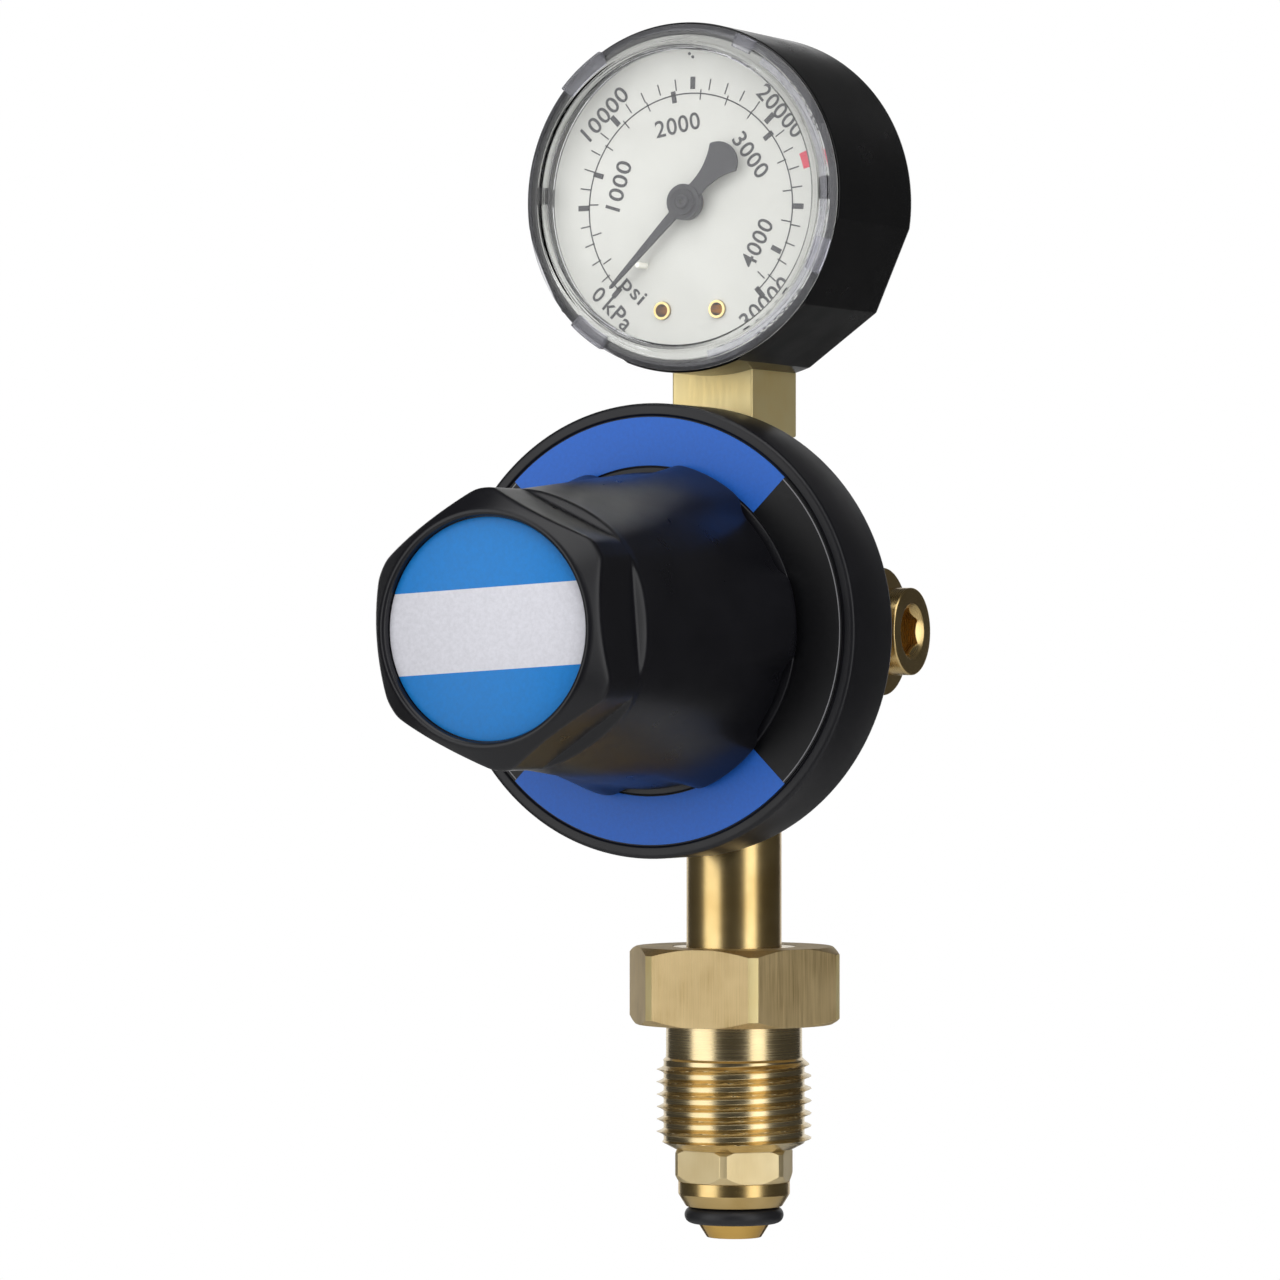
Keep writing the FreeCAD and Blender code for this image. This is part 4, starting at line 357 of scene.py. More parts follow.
# Plastics, rubber and inks
bonnet_black = plastic("bonnet_black", (0.0055, 0.0055, 0.0075), rough=(0.34, 0.42), grain_scale=2.2,
                       depth=0.02, strength=0.16, specular=0.4)
knob_black = plastic("knob_black", (0.0055, 0.0055, 0.0075), rough=(0.27, 0.35), depth=0.012,
                     strength=0.12, specular=0.4)
case_black = plastic("case_black", (0.003, 0.003, 0.0035), rough=(0.2, 0.28), grain_scale=0.6,
                     strength=0.05, specular=0.35)
rubber = plastic("rubber", (0.012, 0.012, 0.014), rough=(0.38, 0.5), grain_scale=4.0, depth=0.02,
                 specular=0.45)
seat_plastic = plastic("seat_plastic", (0.76, 0.74, 0.68), rough=(0.35, 0.45))
pointer_grey = plastic("pointer_grey", (0.014, 0.014, 0.019), rough=(0.42, 0.5), grain_scale=4.0,
                       soft_edge=0.12)
peg_white = plastic("peg_white", (0.82, 0.80, 0.72), rough=(0.35, 0.45), soft_edge=0.1)
INK_FILM = {"grain_scale": 6.0, "depth": 0.002, "strength": 0.1}
dial_ink = plastic("dial_ink", (0.03, 0.03, 0.034), rough=(0.5, 0.6), **INK_FILM)
line_white = plastic("line_white", (0.2, 0.2, 0.21), rough=(0.45, 0.55), **INK_FILM)
red_ink = plastic("red_ink", (0.62, 0.03, 0.07), rough=(0.45, 0.55), **INK_FILM)


def dial_material():
    """Off-white enamel, slightly uneven."""
    mat, tree, shader = new_material("dial_white")
    fine = noise(tree, coords(tree), 2.5, 5)
    cloud = noise(tree, coords(tree), 0.1, 2)
    tone = mix_colour(tree, spread(tree, cloud, 0, 1), (0.59, 0.587, 0.545), (0.65, 0.647, 0.605))
    set_inputs(shader, {"Base Color": tone, "Roughness": spread(tree, cloud, 0.4, 0.5)})
    bump(tree, shader, fine, 0.1, 0.01)
    return mat


PRINT_SHADE = 0.88


def printed(name, one, other, factor_of):
    """Printed film in two colours, parted by a factor worked out from the place on the film."""
    mat, tree, shader = new_material(name)
    split = node(tree, "ShaderNodeSeparateXYZ")
    set_inputs(split, {"Vector": coords(tree)})
    factor = factor_of(tree, split.outputs)
    fine = noise(tree, coords(tree), 2.0, 5)
    tone = mix_colour(tree, factor, one, other)
    shade = mix_colour(tree, PRINT_SHADE, (0, 0, 0), tone)
    uneven = mix_colour(tree, spread(tree, fine, 0, 1), shade, tone)
    set_inputs(shader, {"Base Color": uneven, "Roughness": spread(tree, fine, 0.3, 0.42),
                        "Specular IOR Level": 0.3})
    bump(tree, shader, fine, 0.15, 0.01)
    return mat


def ring_factor(tree, place):
    """1 on the blue quarters above and below, 0 on the black quarters at the sides."""
    across = arithmetic(tree, "ABSOLUTE", place[0])
    up = arithmetic(tree, "ABSOLUTE", arithmetic(tree, "SUBTRACT", place[2], KNOB_AXIS))
    return arithmetic(tree, "GREATER_THAN", up, across)


BAND_TILT = math.radians(3.5)
BAND_HALF = 5.6


def band_factor(tree, place):
    """1 on the pale band across the disc."""
    up = arithmetic(tree, "MULTIPLY", arithmetic(tree, "SUBTRACT", place[2], KNOB_AXIS), math.cos(BAND_TILT))
    across = arithmetic(tree, "MULTIPLY", place[0], -math.sin(BAND_TILT))
    level = arithmetic(tree, "ADD", up, across)
    above = arithmetic(tree, "GREATER_THAN", level, -BAND_HALF)
    below = arithmetic(tree, "LESS_THAN", level, BAND_HALF)
    return arithmetic(tree, "MULTIPLY", above, below)


PRINT_BLACK, RING_BLUE = (0.005, 0.005, 0.006), (0.024, 0.145, 0.62)
DISC_BLUE, DISC_PALE = (0.012, 0.22, 0.64), (0.74, 0.74, 0.80)
ring_print = printed("ring_print", PRINT_BLACK, RING_BLUE, ring_factor)
knob_print = printed("knob_print", DISC_BLUE, DISC_PALE, band_factor)
dial_white = dial_material()


def clear_material():
    """Clear moulded plastic that lets light through to the dial."""
    mat, tree, shader = new_material("clear_plastic")
    set_inputs(shader, {"Base Color": (0.985, 0.99, 0.99, 1), "Transmission Weight": 1.0, "IOR": 1.46,
                        "Roughness": 0.0, "Specular IOR Level": 0.2})
    fine = noise(tree, coords(tree), 0.4, 2)
    bump(tree, shader, fine, 0.05, 0.02)
    see_through = node(tree, "ShaderNodeBsdfTransparent")
    set_inputs(see_through, {"Color": (0.95, 0.955, 0.96, 1)})
    shadow = node(tree, "ShaderNodeLightPath").outputs["Is Shadow Ray"]
    mix_shaders(tree, shadow, shader, see_through, "Material Output")
    return mat


clear_plastic = clear_material()


def cloudy_material():
    """Clear plastic where its moulded edges scatter the light."""
    mat, tree, shader = new_material("cloudy_plastic")
    fine = noise(tree, coords(tree), 1.2, 3)
    tone = mix_colour(tree, spread(tree, fine, 0, 1), (0.80, 0.80, 0.86), (0.92, 0.92, 0.97))
    set_inputs(shader, {"Base Color": tone, "Roughness": spread(tree, fine, 0.06, 0.16),
                        "Transmission Weight": 0.9, "IOR": 1.3})
    bump(tree, shader, fine, 0.15, 0.02)
    return mat


cloudy_plastic = cloudy_material()


def dress(obj, *materials):
    obj.data.materials.clear()
    for mat in materials:
        obj.data.materials.append(mat)
    return obj


def dress_node(name, mat):
    """A CAD piece keeps its mesh and takes a material in its slots."""
    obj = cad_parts[name]
    for holder in obj.material_slots:
        holder.material = mat


# Knob: distances behind its front, and radii
GRIP_LENGTH = 11
SCOOP_RUN = 1.7
SCOOP_SLOPE = 1.118
GRIP_APOTHEM = 17.35
WAIST_FLAT, REAR_FLAT = 18.65, 24.4
WAIST_CORNER, REAR_CORNER = 19.25, 22.5
FACE_RADIUS, SHOULDER_RADIUS, SHOULDER_DEPTH, SHOULDER_SLOPE = 16.1, 19.45, 3, 2
REAR_MARGIN, REAR_BREAK, REAR_BREAK_SLOPE = 0.6, 1.4, 0.71
LOBES, WAIST_SHARPNESS, REAR_SHARPNESS, FLARE = 6, 0.5, 3.3, 1.4
KNOB_BLEND = 0.16
RECESS_RADIUS, RECESS_DEPTH = 15.3, 1.4
FACE_DROP = 0.12
BORE_RADIUS, BORE_END, SCREW_BORE = 15.6, -66.5, 5.2
# Each stretch of the knob's length, as start, end and number of steps
KNOB_STRETCHES = ((0, 3.6, 15), (3.6, 10, 21), (10, 15.5, 25), (15.5, 45.7, 45), (45.7, 47.5, 8))


def knob_surface(angle, y):
    """Radius of the knob's outside: six lobes at the rear, six flats round the front."""
    side = angle - KNOB_TURN
    grip_end = KNOB_FRONT + GRIP_LENGTH + SCOOP_RUN
    share = min(1, max(0, (y - grip_end) / (KNOB_REAR - grip_end)))
    flat_line = WAIST_FLAT + share ** FLARE * (REAR_FLAT - WAIST_FLAT)
    corner_line = WAIST_CORNER + share * (REAR_CORNER - WAIST_CORNER)
    sharpness = WAIST_SHARPNESS + (REAR_SHARPNESS - WAIST_SHARPNESS) * share ** 2
    wave = math.tanh(sharpness * math.cos(LOBES * side)) / math.tanh(sharpness)
    form = (flat_line + corner_line) / 2 + wave * (flat_line - corner_line) / 2
    apothem = GRIP_APOTHEM + max(0, (y - KNOB_FRONT - GRIP_LENGTH) * SCOOP_SLOPE)
    across = (side + math.radians(30)) % math.radians(60) - math.radians(30)
    flat = apothem / math.cos(across)
    behind_shoulder = y - KNOB_FRONT - SHOULDER_DEPTH
    if behind_shoulder < 0:
        shoulder = SHOULDER_RADIUS + behind_shoulder / SHOULDER_DEPTH * (SHOULDER_RADIUS - FACE_RADIUS)
    else:
        shoulder = SHOULDER_RADIUS + behind_shoulder * SHOULDER_SLOPE
    rear_line = REAR_FLAT + REAR_MARGIN - max(0, y - KNOB_REAR + REAR_BREAK) * REAR_BREAK_SLOPE
    return soft_least([form, flat, shoulder, rear_line], KNOB_BLEND)


def soft_least(values, softness):
    """The least of several values, blended where they come close."""
    low = min(values)
    return low - softness * math.log(sum(math.exp(-(v - low) / softness) for v in values))


def make_knob():
    """The moulding, with a recess for its disc in front and a wide bore behind."""
    stations = [KNOB_FRONT]
    for start, end, steps in KNOB_STRETCHES:
        stations += [KNOB_FRONT + start + (end - start) * k / steps for k in range(1, steps + 1)]
    floor = KNOB_FRONT + RECESS_DEPTH
    inner = [(RECESS_RADIUS, floor), (RECESS_RADIUS, KNOB_FRONT + 0.5),
             (RECESS_RADIUS + 0.15, KNOB_FRONT + 0.18), (RECESS_RADIUS + 0.45, KNOB_FRONT + 0.02)]
    rear = [(BORE_RADIUS + 0.2, KNOB_REAR), (BORE_RADIUS, KNOB_REAR - 0.2), (BORE_RADIUS, BORE_END),
            (SCREW_BORE, BORE_END)]

    def profile(angle):
        outside = [(knob_surface(angle, y) - (FACE_DROP if y == KNOB_FRONT else 0), y) for y in stations]
        return [(0.01, floor)] + inner + outside + rear

    form = columns("Y", KNOB_CENTRE, even(384), profile)
    dress(add_mesh("knob_shell", *form, "knob", "knob_black", ("knob",), sharp=40), knob_black)


DISC_RADIUS, DISC_FRONT, DISC_BACK = 15.15, -75.2, -74.95


def make_knob_label():
    """The printed disc in the knob's recess."""
    points = [(0, DISC_FRONT), (DISC_RADIUS - 0.15, DISC_FRONT, 0), (DISC_RADIUS, DISC_FRONT + 0.08, 0),
              (DISC_RADIUS, DISC_BACK)]
    label = lathe("knob_disc", "Y", KNOB_CENTRE, points, "knob", "blue_label", ("knob_label",), 128, 0.05)
    dress(label, knob_print)


# Bonnet: radii, and places along Y
NECK_RADIUS, NECK_FRONT, NECK_HOLE = 15, -61, 5.1
LABEL_SEAT_IN, LABEL_SEAT_OUT, LABEL_SEAT = 23.35, 30.6, -27.35
SKIRT_RADIUS, SKIRT_REAR, SKIRT_BORE = 32.4, -14.7, 27.6
PLATE_BORE, PLATE_ROOM, CLAMP_FACE = 22.5, -25, -21.2
SPRING_BORE, SPRING_END = 12.2, -54
LABEL_IN, LABEL_OUT, LABEL_FRONT, LABEL_BACK = 23.5, 30.4, -27.58, -27.4
LABEL_LINE = (30.0, 30.16)


def make_bonnet():
    """The turned shell: neck, flange with a seat for the ring label, and skirt."""
    points = [
        (NECK_HOLE, NECK_FRONT), (NECK_RADIUS, NECK_FRONT, 0.8), (NECK_RADIUS, BONNET_FRONT, 0.3),
        (LABEL_SEAT_IN - 0.15, BONNET_FRONT, 0.15), (LABEL_SEAT_IN, LABEL_SEAT, 0.1),
        (LABEL_SEAT_OUT, LABEL_SEAT, 0.1), (LABEL_SEAT_OUT + 0.2, BONNET_FRONT, 0.25),
        (SKIRT_RADIUS, BONNET_FRONT, 1.9), (SKIRT_RADIUS, SKIRT_REAR, 0.7), (SKIRT_BORE, SKIRT_REAR, 0.3),
        (SKIRT_BORE, CLAMP_FACE, 0.1), (PLATE_BORE, CLAMP_FACE, 0.1), (PLATE_BORE, PLATE_ROOM, 0.3),
        (SPRING_BORE, PLATE_ROOM, 0.3), (SPRING_BORE, SPRING_END, 0.3), (NECK_HOLE, SPRING_END),
    ]
    bonnet = lathe("bonnet_shell", "Y", KNOB_CENTRE, points, "regulator", "bonnet_black", ("bonnet",), 192)
    dress(bonnet, bonnet_black)


def make_ring_label():
    """The printed ring, and the thin line round its black quarters."""
    points = [(LABEL_IN, LABEL_BACK), (LABEL_IN, LABEL_FRONT, 0.05), (LABEL_OUT, LABEL_FRONT, 0.05),
              (LABEL_OUT, LABEL_BACK)]
    ring = lathe("bonnet_ring", "Y", KNOB_CENTRE, points, "regulator", "ring_label", ("bonnet_label",), 192,
                 0.05)
    dress(ring, ring_print)
    lines = join_meshes([arc_strip(KNOB_AXIS, LABEL_FRONT - 0.02, *LABEL_LINE, start, start + 90, 40)
                         for start in (-45, 135)])
    dress(add_mesh("ring_edge_lines", *lines, "regulator", "ring_label"), line_white)


# Gauge case: it has two flats on each lower side, given by their middles and half width in radians
CASE_FLATS = [math.radians(a) for a in (-23.8, -54.2, 203.8, 234.2)]
FLAT_HALF = math.radians(15.2)
CORNER_NEAR = math.radians(0.8)
CASE_BORE, CASE_FLOOR = 22.1, 5.8
CAP_SEAT_RADIUS, CAP_SEAT = 23.35, -13.25


def off_middle(angle, middle):
    """How far an angle lies from another, from -pi to pi."""
    return (angle - middle + math.pi) % TAU - math.pi


def case_radius(angle, outer):
    """Outside of the case at an angle."""
    chord = CASE_RADIUS * math.cos(FLAT_HALF)
    radius = outer
    for middle in CASE_FLATS:
        off = off_middle(angle, middle)
        if abs(off) <= FLAT_HALF + 1e-6:
            radius = min(radius, chord / math.cos(off) - (CASE_RADIUS - outer))
    return radius


def case_angles():
    """Even angles with the corners of the flats among them, in place of any that come too near."""
    angles = {round(math.radians(2 * k), 6) for k in range(180)}
    for middle in CASE_FLATS:
        for off in (-FLAT_HALF, FLAT_HALF):
            angles.add(round((middle + off) % TAU, 6))
    kept = []
    for a in sorted(angles):
        if kept and a - kept[-1] < CORNER_NEAR:
            if any(abs(abs(off_middle(a, middle)) - FLAT_HALF) < 1e-3 for middle in CASE_FLATS):
                kept[-1] = a
            continue
        kept.append(a)
    return kept


def make_case():
    """The moulded case, open in front."""
    def profile(angle):
        def at(inset, y):
            return (case_radius(angle, CASE_RADIUS) - inset, y)
        lip = [(CASE_BORE, CAP_SEAT), (CAP_SEAT_RADIUS, CAP_SEAT), (CAP_SEAT_RADIUS, CASE_FRONT + 0.15),
               (CAP_SEAT_RADIUS + 0.15, CASE_FRONT)]
        outer = [at(0.35, CASE_FRONT), at(0.1, CASE_FRONT + 0.1), at(0, CASE_FRONT + 0.35),
                 at(0, -10), at(0, -2), at(0, 5.5), at(0, CASE_BACK - 1)]
        rear = [at(0.1, CASE_BACK - 0.55), at(0.35, CASE_BACK - 0.2), at(0.8, CASE_BACK), at(3, CASE_BACK),
                (12, CASE_BACK), (0.01, CASE_BACK)]
        inner = [(0.01, CASE_FLOOR), (CASE_BORE - 0.1, CASE_FLOOR), (CASE_BORE, CASE_FLOOR - 0.3)]
        return lip + outer + rear + inner

    form = columns("Y", GAUGE_CENTRE, case_angles(), profile, closed=True)
    case = add_mesh("gauge_case_shell", *form, "regulator", "case_black", ("gauge_case",), sharp=28)
    bevel(case, 0.25, 3, 12)
    dress(case, case_black)


# Clear cap: window, rim and the skirt that goes into the case
WINDOW_FRONT, WINDOW_BACK = -18.15, -17.1
RIM_FRONT, RIM_BACK = -18.3, -17.15
RIM_TOP, RIM_OUT = 23.8, 24.9
SKIRT_IN, SKIRT_OUT, SKIRT_END = 22.15, 23.25, -14.0
# Lugs and slots, by the angles where they start and end
LUGS = ((120.5, 139), (60.5, 68), (226, 240), (-28, -16))
SLOTS = ((-2.6, 5.6), (174.4, 180.6))
# Angles of a pale cloudy layer on the near side of the rim's front: painted sheen of the clear rim
NEAR_SHEEN_ANGLES = (-78, 55)
# Inner and outer radius, front and back of each
LUG_RING = (22.9, 24.95, -18.5, -17.35)
SHEEN_RING = (22.7, 23.75, -18.36, -18.31)
SLOT_RING = (22.45, 23.2, -17.1, -15.2)
BEAD = [(21.2, -18.1), (21.5, -18.4, 0.1), (21.95, -18.4, 0.1), (22.2, -18.1)]


def make_lens():
    """The clear cap, cloudy on the slope of its rim."""
    points = [
        (0, WINDOW_FRONT), (22.2, WINDOW_FRONT, 0.1), (22.5, RIM_FRONT, 0.1),
        (RIM_TOP, RIM_FRONT, 0.1), (RIM_OUT, -17.3, 0.1), (RIM_OUT, RIM_BACK, 0.05),
        (SKIRT_OUT, RIM_BACK, 0.1), (SKIRT_OUT, SKIRT_END, 0.1), (SKIRT_IN, SKIRT_END, 0.1),
        (22.0, -16.7, 0.25), (21.3, WINDOW_BACK, 0.2), (0, WINDOW_BACK),
    ]
    lens = lathe("gauge_clear_cap", "Y", GAUGE_CENTRE, points, "regulator", "clear", ("gauge_lens",),
                 180, 0.1)
    dress(lens, clear_plastic, cloudy_plastic)
    for face in lens.data.polygons:
        across, _, up = face.center / MM
        if math.hypot(across, up - GAUGE_AXIS) > RIM_TOP + 0.1 and face.normal.y < -0.5:
            face.material_index = 1


def ring_block(r_in, r_out, front, back, start, end):
    """A block that follows a ring, with angles in degrees from the dial's right."""
    count = max(3, int((end - start) / 1.5))
    verts, faces = [], []
    for k in range(count + 1):
        a = math.radians(start + (end - start) * k / count)
        for r, y in ((r_in, front), (r_out, front), (r_out, back), (r_in, back)):
            verts.append((r * math.cos(a), y, GAUGE_AXIS + r * math.sin(a)))
    for k in range(count):
        for c in range(4):
            n = (c + 1) % 4
            faces.append((4 * k + c, 4 * k + n, 4 * k + 4 + n, 4 * k + 4 + c))
    faces += [(3, 2, 1, 0), tuple(4 * count + c for c in range(4))]
    return verts, faces


def make_cap_lugs():
    """Grips on the clear cap's rim, a cloudy layer on its near side that is painted sheen, and its two dark
    slots.
    """
    blocks = [ring_block(*LUG_RING, start, end) for start, end in LUGS]
    lugs = add_mesh("cap_lugs", *join_meshes(blocks), "regulator", "clear", sharp=30)
    bevel(lugs, 0.15, 2, 30)
    dress(lugs, cloudy_plastic)
    bead = lathe("cap_inner_bead", "Y", GAUGE_CENTRE, BEAD, "regulator", "clear", (), 180, 0.1)
    dress(bead, clear_plastic)
    # A thin pale layer on the rim's front, only on the side nearest the camera: painted sheen
    near = add_mesh("cap_near_painted_sheen", *ring_block(*SHEEN_RING, *NEAR_SHEEN_ANGLES), "regulator", "clear", sharp=30)
    dress(near, cloudy_plastic)
    slots = join_meshes([ring_block(*SLOT_RING, start, end) for start, end in SLOTS])
    dress(add_mesh("cap_slots", *slots, "regulator", "case_black", sharp=30), case_black)


def arc_strip(centre_z, y, r_in, r_out, start, end, steps):
    """A flat band round an axis along Y, from one angle to another in degrees."""
    verts, faces = [], []
    for k in range(steps + 1):
        a = math.radians(start + (end - start) * k / steps)
        for r in (r_in, r_out):
            verts.append((r * math.cos(a), y, centre_z + r * math.sin(a)))
    for k in range(steps):
        faces.append((2 * k, 2 * k + 1, 2 * k + 3, 2 * k + 2))
    return verts, faces


def tick(angle, r_in, r_out, width, y):
    """A short bar along a radius from the pointer's axis."""
    a = math.radians(angle)
    along = (math.cos(a), math.sin(a))
    side = (-math.sin(a) * width / 2, math.cos(a) * width / 2)
    points = []
    for r, s in ((r_in, -1), (r_out, -1), (r_out, 1), (r_in, 1)):
        points.append((r * along[0] + s * side[0], y, POINTER_AXIS + r * along[1] + s * side[1]))
    return points, [(0, 1, 2, 3)]


# The dial's print. Its arc and figures are centred a little below the pointer's axis, its marks on
# it. The outer scale is in kilopascals and the inner one in psi; each kind of mark is given as its
# length and width.
INK_LEVEL = DIAL_FACE - 0.03
PRINT_AXIS = 135.15
ARC_RADIUS = 16.49
ARC_HALF = 0.1
SCALE_START = 226.65
SCALE_STEP = 9.21
SCALE_END = 30
PSI = 6.895
KPA_LONG, KPA_SHORT = (1.8, 0.8), (1.65, 0.2)
PSI_LONG, PSI_SHORT = (1.7, 0.75), (1.5, 0.2)
PSI_MARKS = 18
LETTER_GAP, LETTER_WEIGHT = 1.08, 0.012


def scale_angle(thousands):
    """Direction on the dial of a pressure in thousands of kilopascals."""
    return SCALE_START - SCALE_STEP * thousands


def make_scale():
    """The arc, with marks outside it each 1000 kPa and inside it each 250 psi."""
    parts = [arc_strip(PRINT_AXIS, INK_LEVEL, ARC_RADIUS - ARC_HALF, ARC_RADIUS + ARC_HALF,
                       scale_angle(SCALE_END), scale_angle(0), 120)]
    for k in range(SCALE_END + 1):
        length, width = KPA_LONG if k % 5 == 0 else KPA_SHORT
        parts.append(tick(scale_angle(k), ARC_RADIUS, ARC_RADIUS + length, width, INK_LEVEL))
    for k in range(PSI_MARKS):
        length, width = PSI_LONG if k % 4 == 0 and k > 0 else PSI_SHORT
        parts.append(tick(scale_angle(k * PSI / 4), ARC_RADIUS - length, ARC_RADIUS, width, INK_LEVEL))
    dress(add_mesh("dial_scale", *join_meshes(parts), "regulator", "dial"), dial_ink)


def figure(name, text, length, height, x, z, turn):
    """A word or number on the dial, of a given size, about a place and turned by degrees."""
    curve = bpy.data.curves.new(name, "FONT")
    curve.body = text
    curve.space_character = LETTER_GAP
    curve.offset = LETTER_WEIGHT
    shape = bpy.data.objects.new(name, curve)
    link(shape)
    bpy.context.view_layer.update()
    mesh = bpy.data.meshes.new_from_object(shape)
    bpy.data.objects.remove(shape)
    wide = [v.co.x for v in mesh.vertices]
    tall = [v.co.y for v in mesh.vertices]
    middle = ((min(wide) + max(wide)) / 2, (min(tall) + max(tall)) / 2)
    grow = (length / (max(wide) - min(wide)), height / (max(tall) - min(tall)))
    along = (math.cos(math.radians(turn)), math.sin(math.radians(turn)))
    for v in mesh.vertices:
        across, up = (v.co.x - middle[0]) * grow[0], (v.co.y - middle[1]) * grow[1]
        place = (x + across * along[0] - up * along[1], INK_LEVEL, z + across * along[1] + up * along[0])
        v.co = Vector(place) * MM
    flat = bpy.data.objects.new(name, mesh)
    link(flat)
    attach(flat, "regulator")
    return dress(flat, dial_ink)


# Sizes of the figures, as length and height, and the radii they stand at
PSI_FIGURE, PSI_RADIUS = (7.3, 2.5), 12.15
KPA_FIGURE = (9.2, 2.5)
KPA_FIGURES = (("10000", 19.85, -90), ("20000", 19.75, -90), ("30000", 18.6, 90))


def make_figures():
    """The numbers along both scales, and the names of the units."""
    for k in range(1, 5):
        angle = scale_angle(k * PSI)
        turn = angle + 90 if k == 4 else angle - 90
        a = math.radians(angle)
        figure(f"figures_psi_{k}000", f"{k}000", *PSI_FIGURE, PSI_RADIUS * math.cos(a),
               PRINT_AXIS + PSI_RADIUS * math.sin(a), turn)
    for words, radius, lag in KPA_FIGURES:
        angle = scale_angle(int(words) / 1000)
        a = math.radians(angle)
        figure("figures_kpa_" + words, words, *KPA_FIGURE, radius * math.cos(a),
               PRINT_AXIS + radius * math.sin(a), angle + lag)
    figure("figures_kpa_0", "0", 1.5, 2.4, -14.9, 122.9, -45)
    figure("unit_psi", "psi", 4.3, 2.9, -9.4, 123.1, -45)
    figure("unit_kpa", "kPa", 5.2, 2.6, -11.7, 119.9, -45)


DOTS = ((-0.1, 157.4), (0.45, 156.9))
DOT_RADIUS = 0.24
# Inner and outer radius, and the angles where it starts and ends
LIMIT_MARK = (18.9, 20.3, 14.8, 21.8)


def make_dial_marks():
    """Two dots at the top of the dial, and the red mark at the highest pressure."""
    parts = []
    for x, z in DOTS:
        points, faces = arc_strip(z, INK_LEVEL, 0.001, DOT_RADIUS, 0, 360, 16)
        parts.append(([(px + x, y, pz) for px, y, pz in points], faces))
    dress(add_mesh("dial_dots", *join_meshes(parts), "regulator", "dial"), dial_ink)
    limit = arc_strip(PRINT_AXIS, INK_LEVEL, *LIMIT_MARK, 8)
    dress(add_mesh("dial_limit_mark", *limit, "regulator", "dial"), red_ink)


def make_pointer_dimple():
    """Dimple in the middle of the pointer's hub, and a black disc over its middle that is painted shade of
    the pit.
    """
    front = min(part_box("pointer")[0][1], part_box("pinion_arbor")[0][1]) / MM
    points = [(0.01, front - 0.02), (0.24, front - 0.03), (0.34, front - 0.12, 0.03),
              (0.85, front - 0.14, 0.05), (1.05, front + 0.02)]
    rim = lathe("pointer_dimple", "Y", (0, 0, POINTER_AXIS), points, "pointer", None, (), 48, 0.03)
    # The black disc is painted shade: it stands where the pit's hollow lies in shade.
    disc = [(0.01, front - 0.15), (0.42, front - 0.145)]
    pit = lathe("pointer_pit_painted_shade", "Y", (0, 0, POINTER_AXIS), disc, "pointer", None, (), 32, 0.0)
    dress(pit, case_black)
    dress(rim, pointer_grey)


# Gauge socket: half width, front and back of the block, its height, and the stub's radius and foot
BLOCK_HALF, BLOCK_FRONT, BLOCK_BACK = 6.5, -7.2, 7.6
BLOCK_LOW, BLOCK_HIGH = 102.6, POINTER_AXIS - 13.4
STUB_RADIUS, STUB_LOW = 6.6, 91


def make_socket():
    """Square block under the gauge with its edges broken, and the round stub below it."""
    corners = ((-BLOCK_HALF, BLOCK_FRONT), (BLOCK_HALF, BLOCK_FRONT), (BLOCK_HALF, BLOCK_BACK),
               (-BLOCK_HALF, BLOCK_BACK))
    verts = [(x, y, z) for z in (BLOCK_LOW, BLOCK_HIGH) for x, y in corners]
    faces = [(0, 3, 2, 1), (4, 5, 6, 7), (0, 1, 5, 4), (1, 2, 6, 5), (2, 3, 7, 6), (3, 0, 4, 7)]
    solid = add_mesh("gauge_block", verts, faces, "regulator", "pale_brass", ("gauge_socket",), sharp=30)
    bevel(solid, 0.3, 3, 30)
    dress(solid, pale_brass)
    points = [(0, STUB_LOW), (STUB_RADIUS - 1, STUB_LOW, 0), (STUB_RADIUS, STUB_LOW + 1, 0),
              (STUB_RADIUS, BLOCK_LOW + 0.1), (0, BLOCK_LOW + 0.1)]
    stub = lathe("gauge_stub", "Z", STEM_CENTRE, points, "regulator", "brass", (), 96)
    dress(stub, turned_brass)


# Inlet stem: radii and heights of the nose, the seal's groove, the cone and the tube
STEM_BORE = 2.5
NOSE_FOOT, NOSE_TOP, NOSE_RADIUS = -14.35, -12.3, 5.3
GROOVE_RADIUS, GROOVE_TOP = 4.85, -9.85
CONE_RADIUS, CONE_TOP = 8.17, -8.0
NIPPLE_FOOT, NIPPLE_TOP = -6.2, -1.45
TUBE_RADIUS, TUBE_TOP = 6.95, 60.8
NIPPLE_FLATS, NIPPLE_CORNER, NIPPLE_BORE = 16, 8.95, 6.9
SEAL_HEIGHT, SEAL_RADIUS, SEAL_WIRE = -11.1, 6.05, 1.2


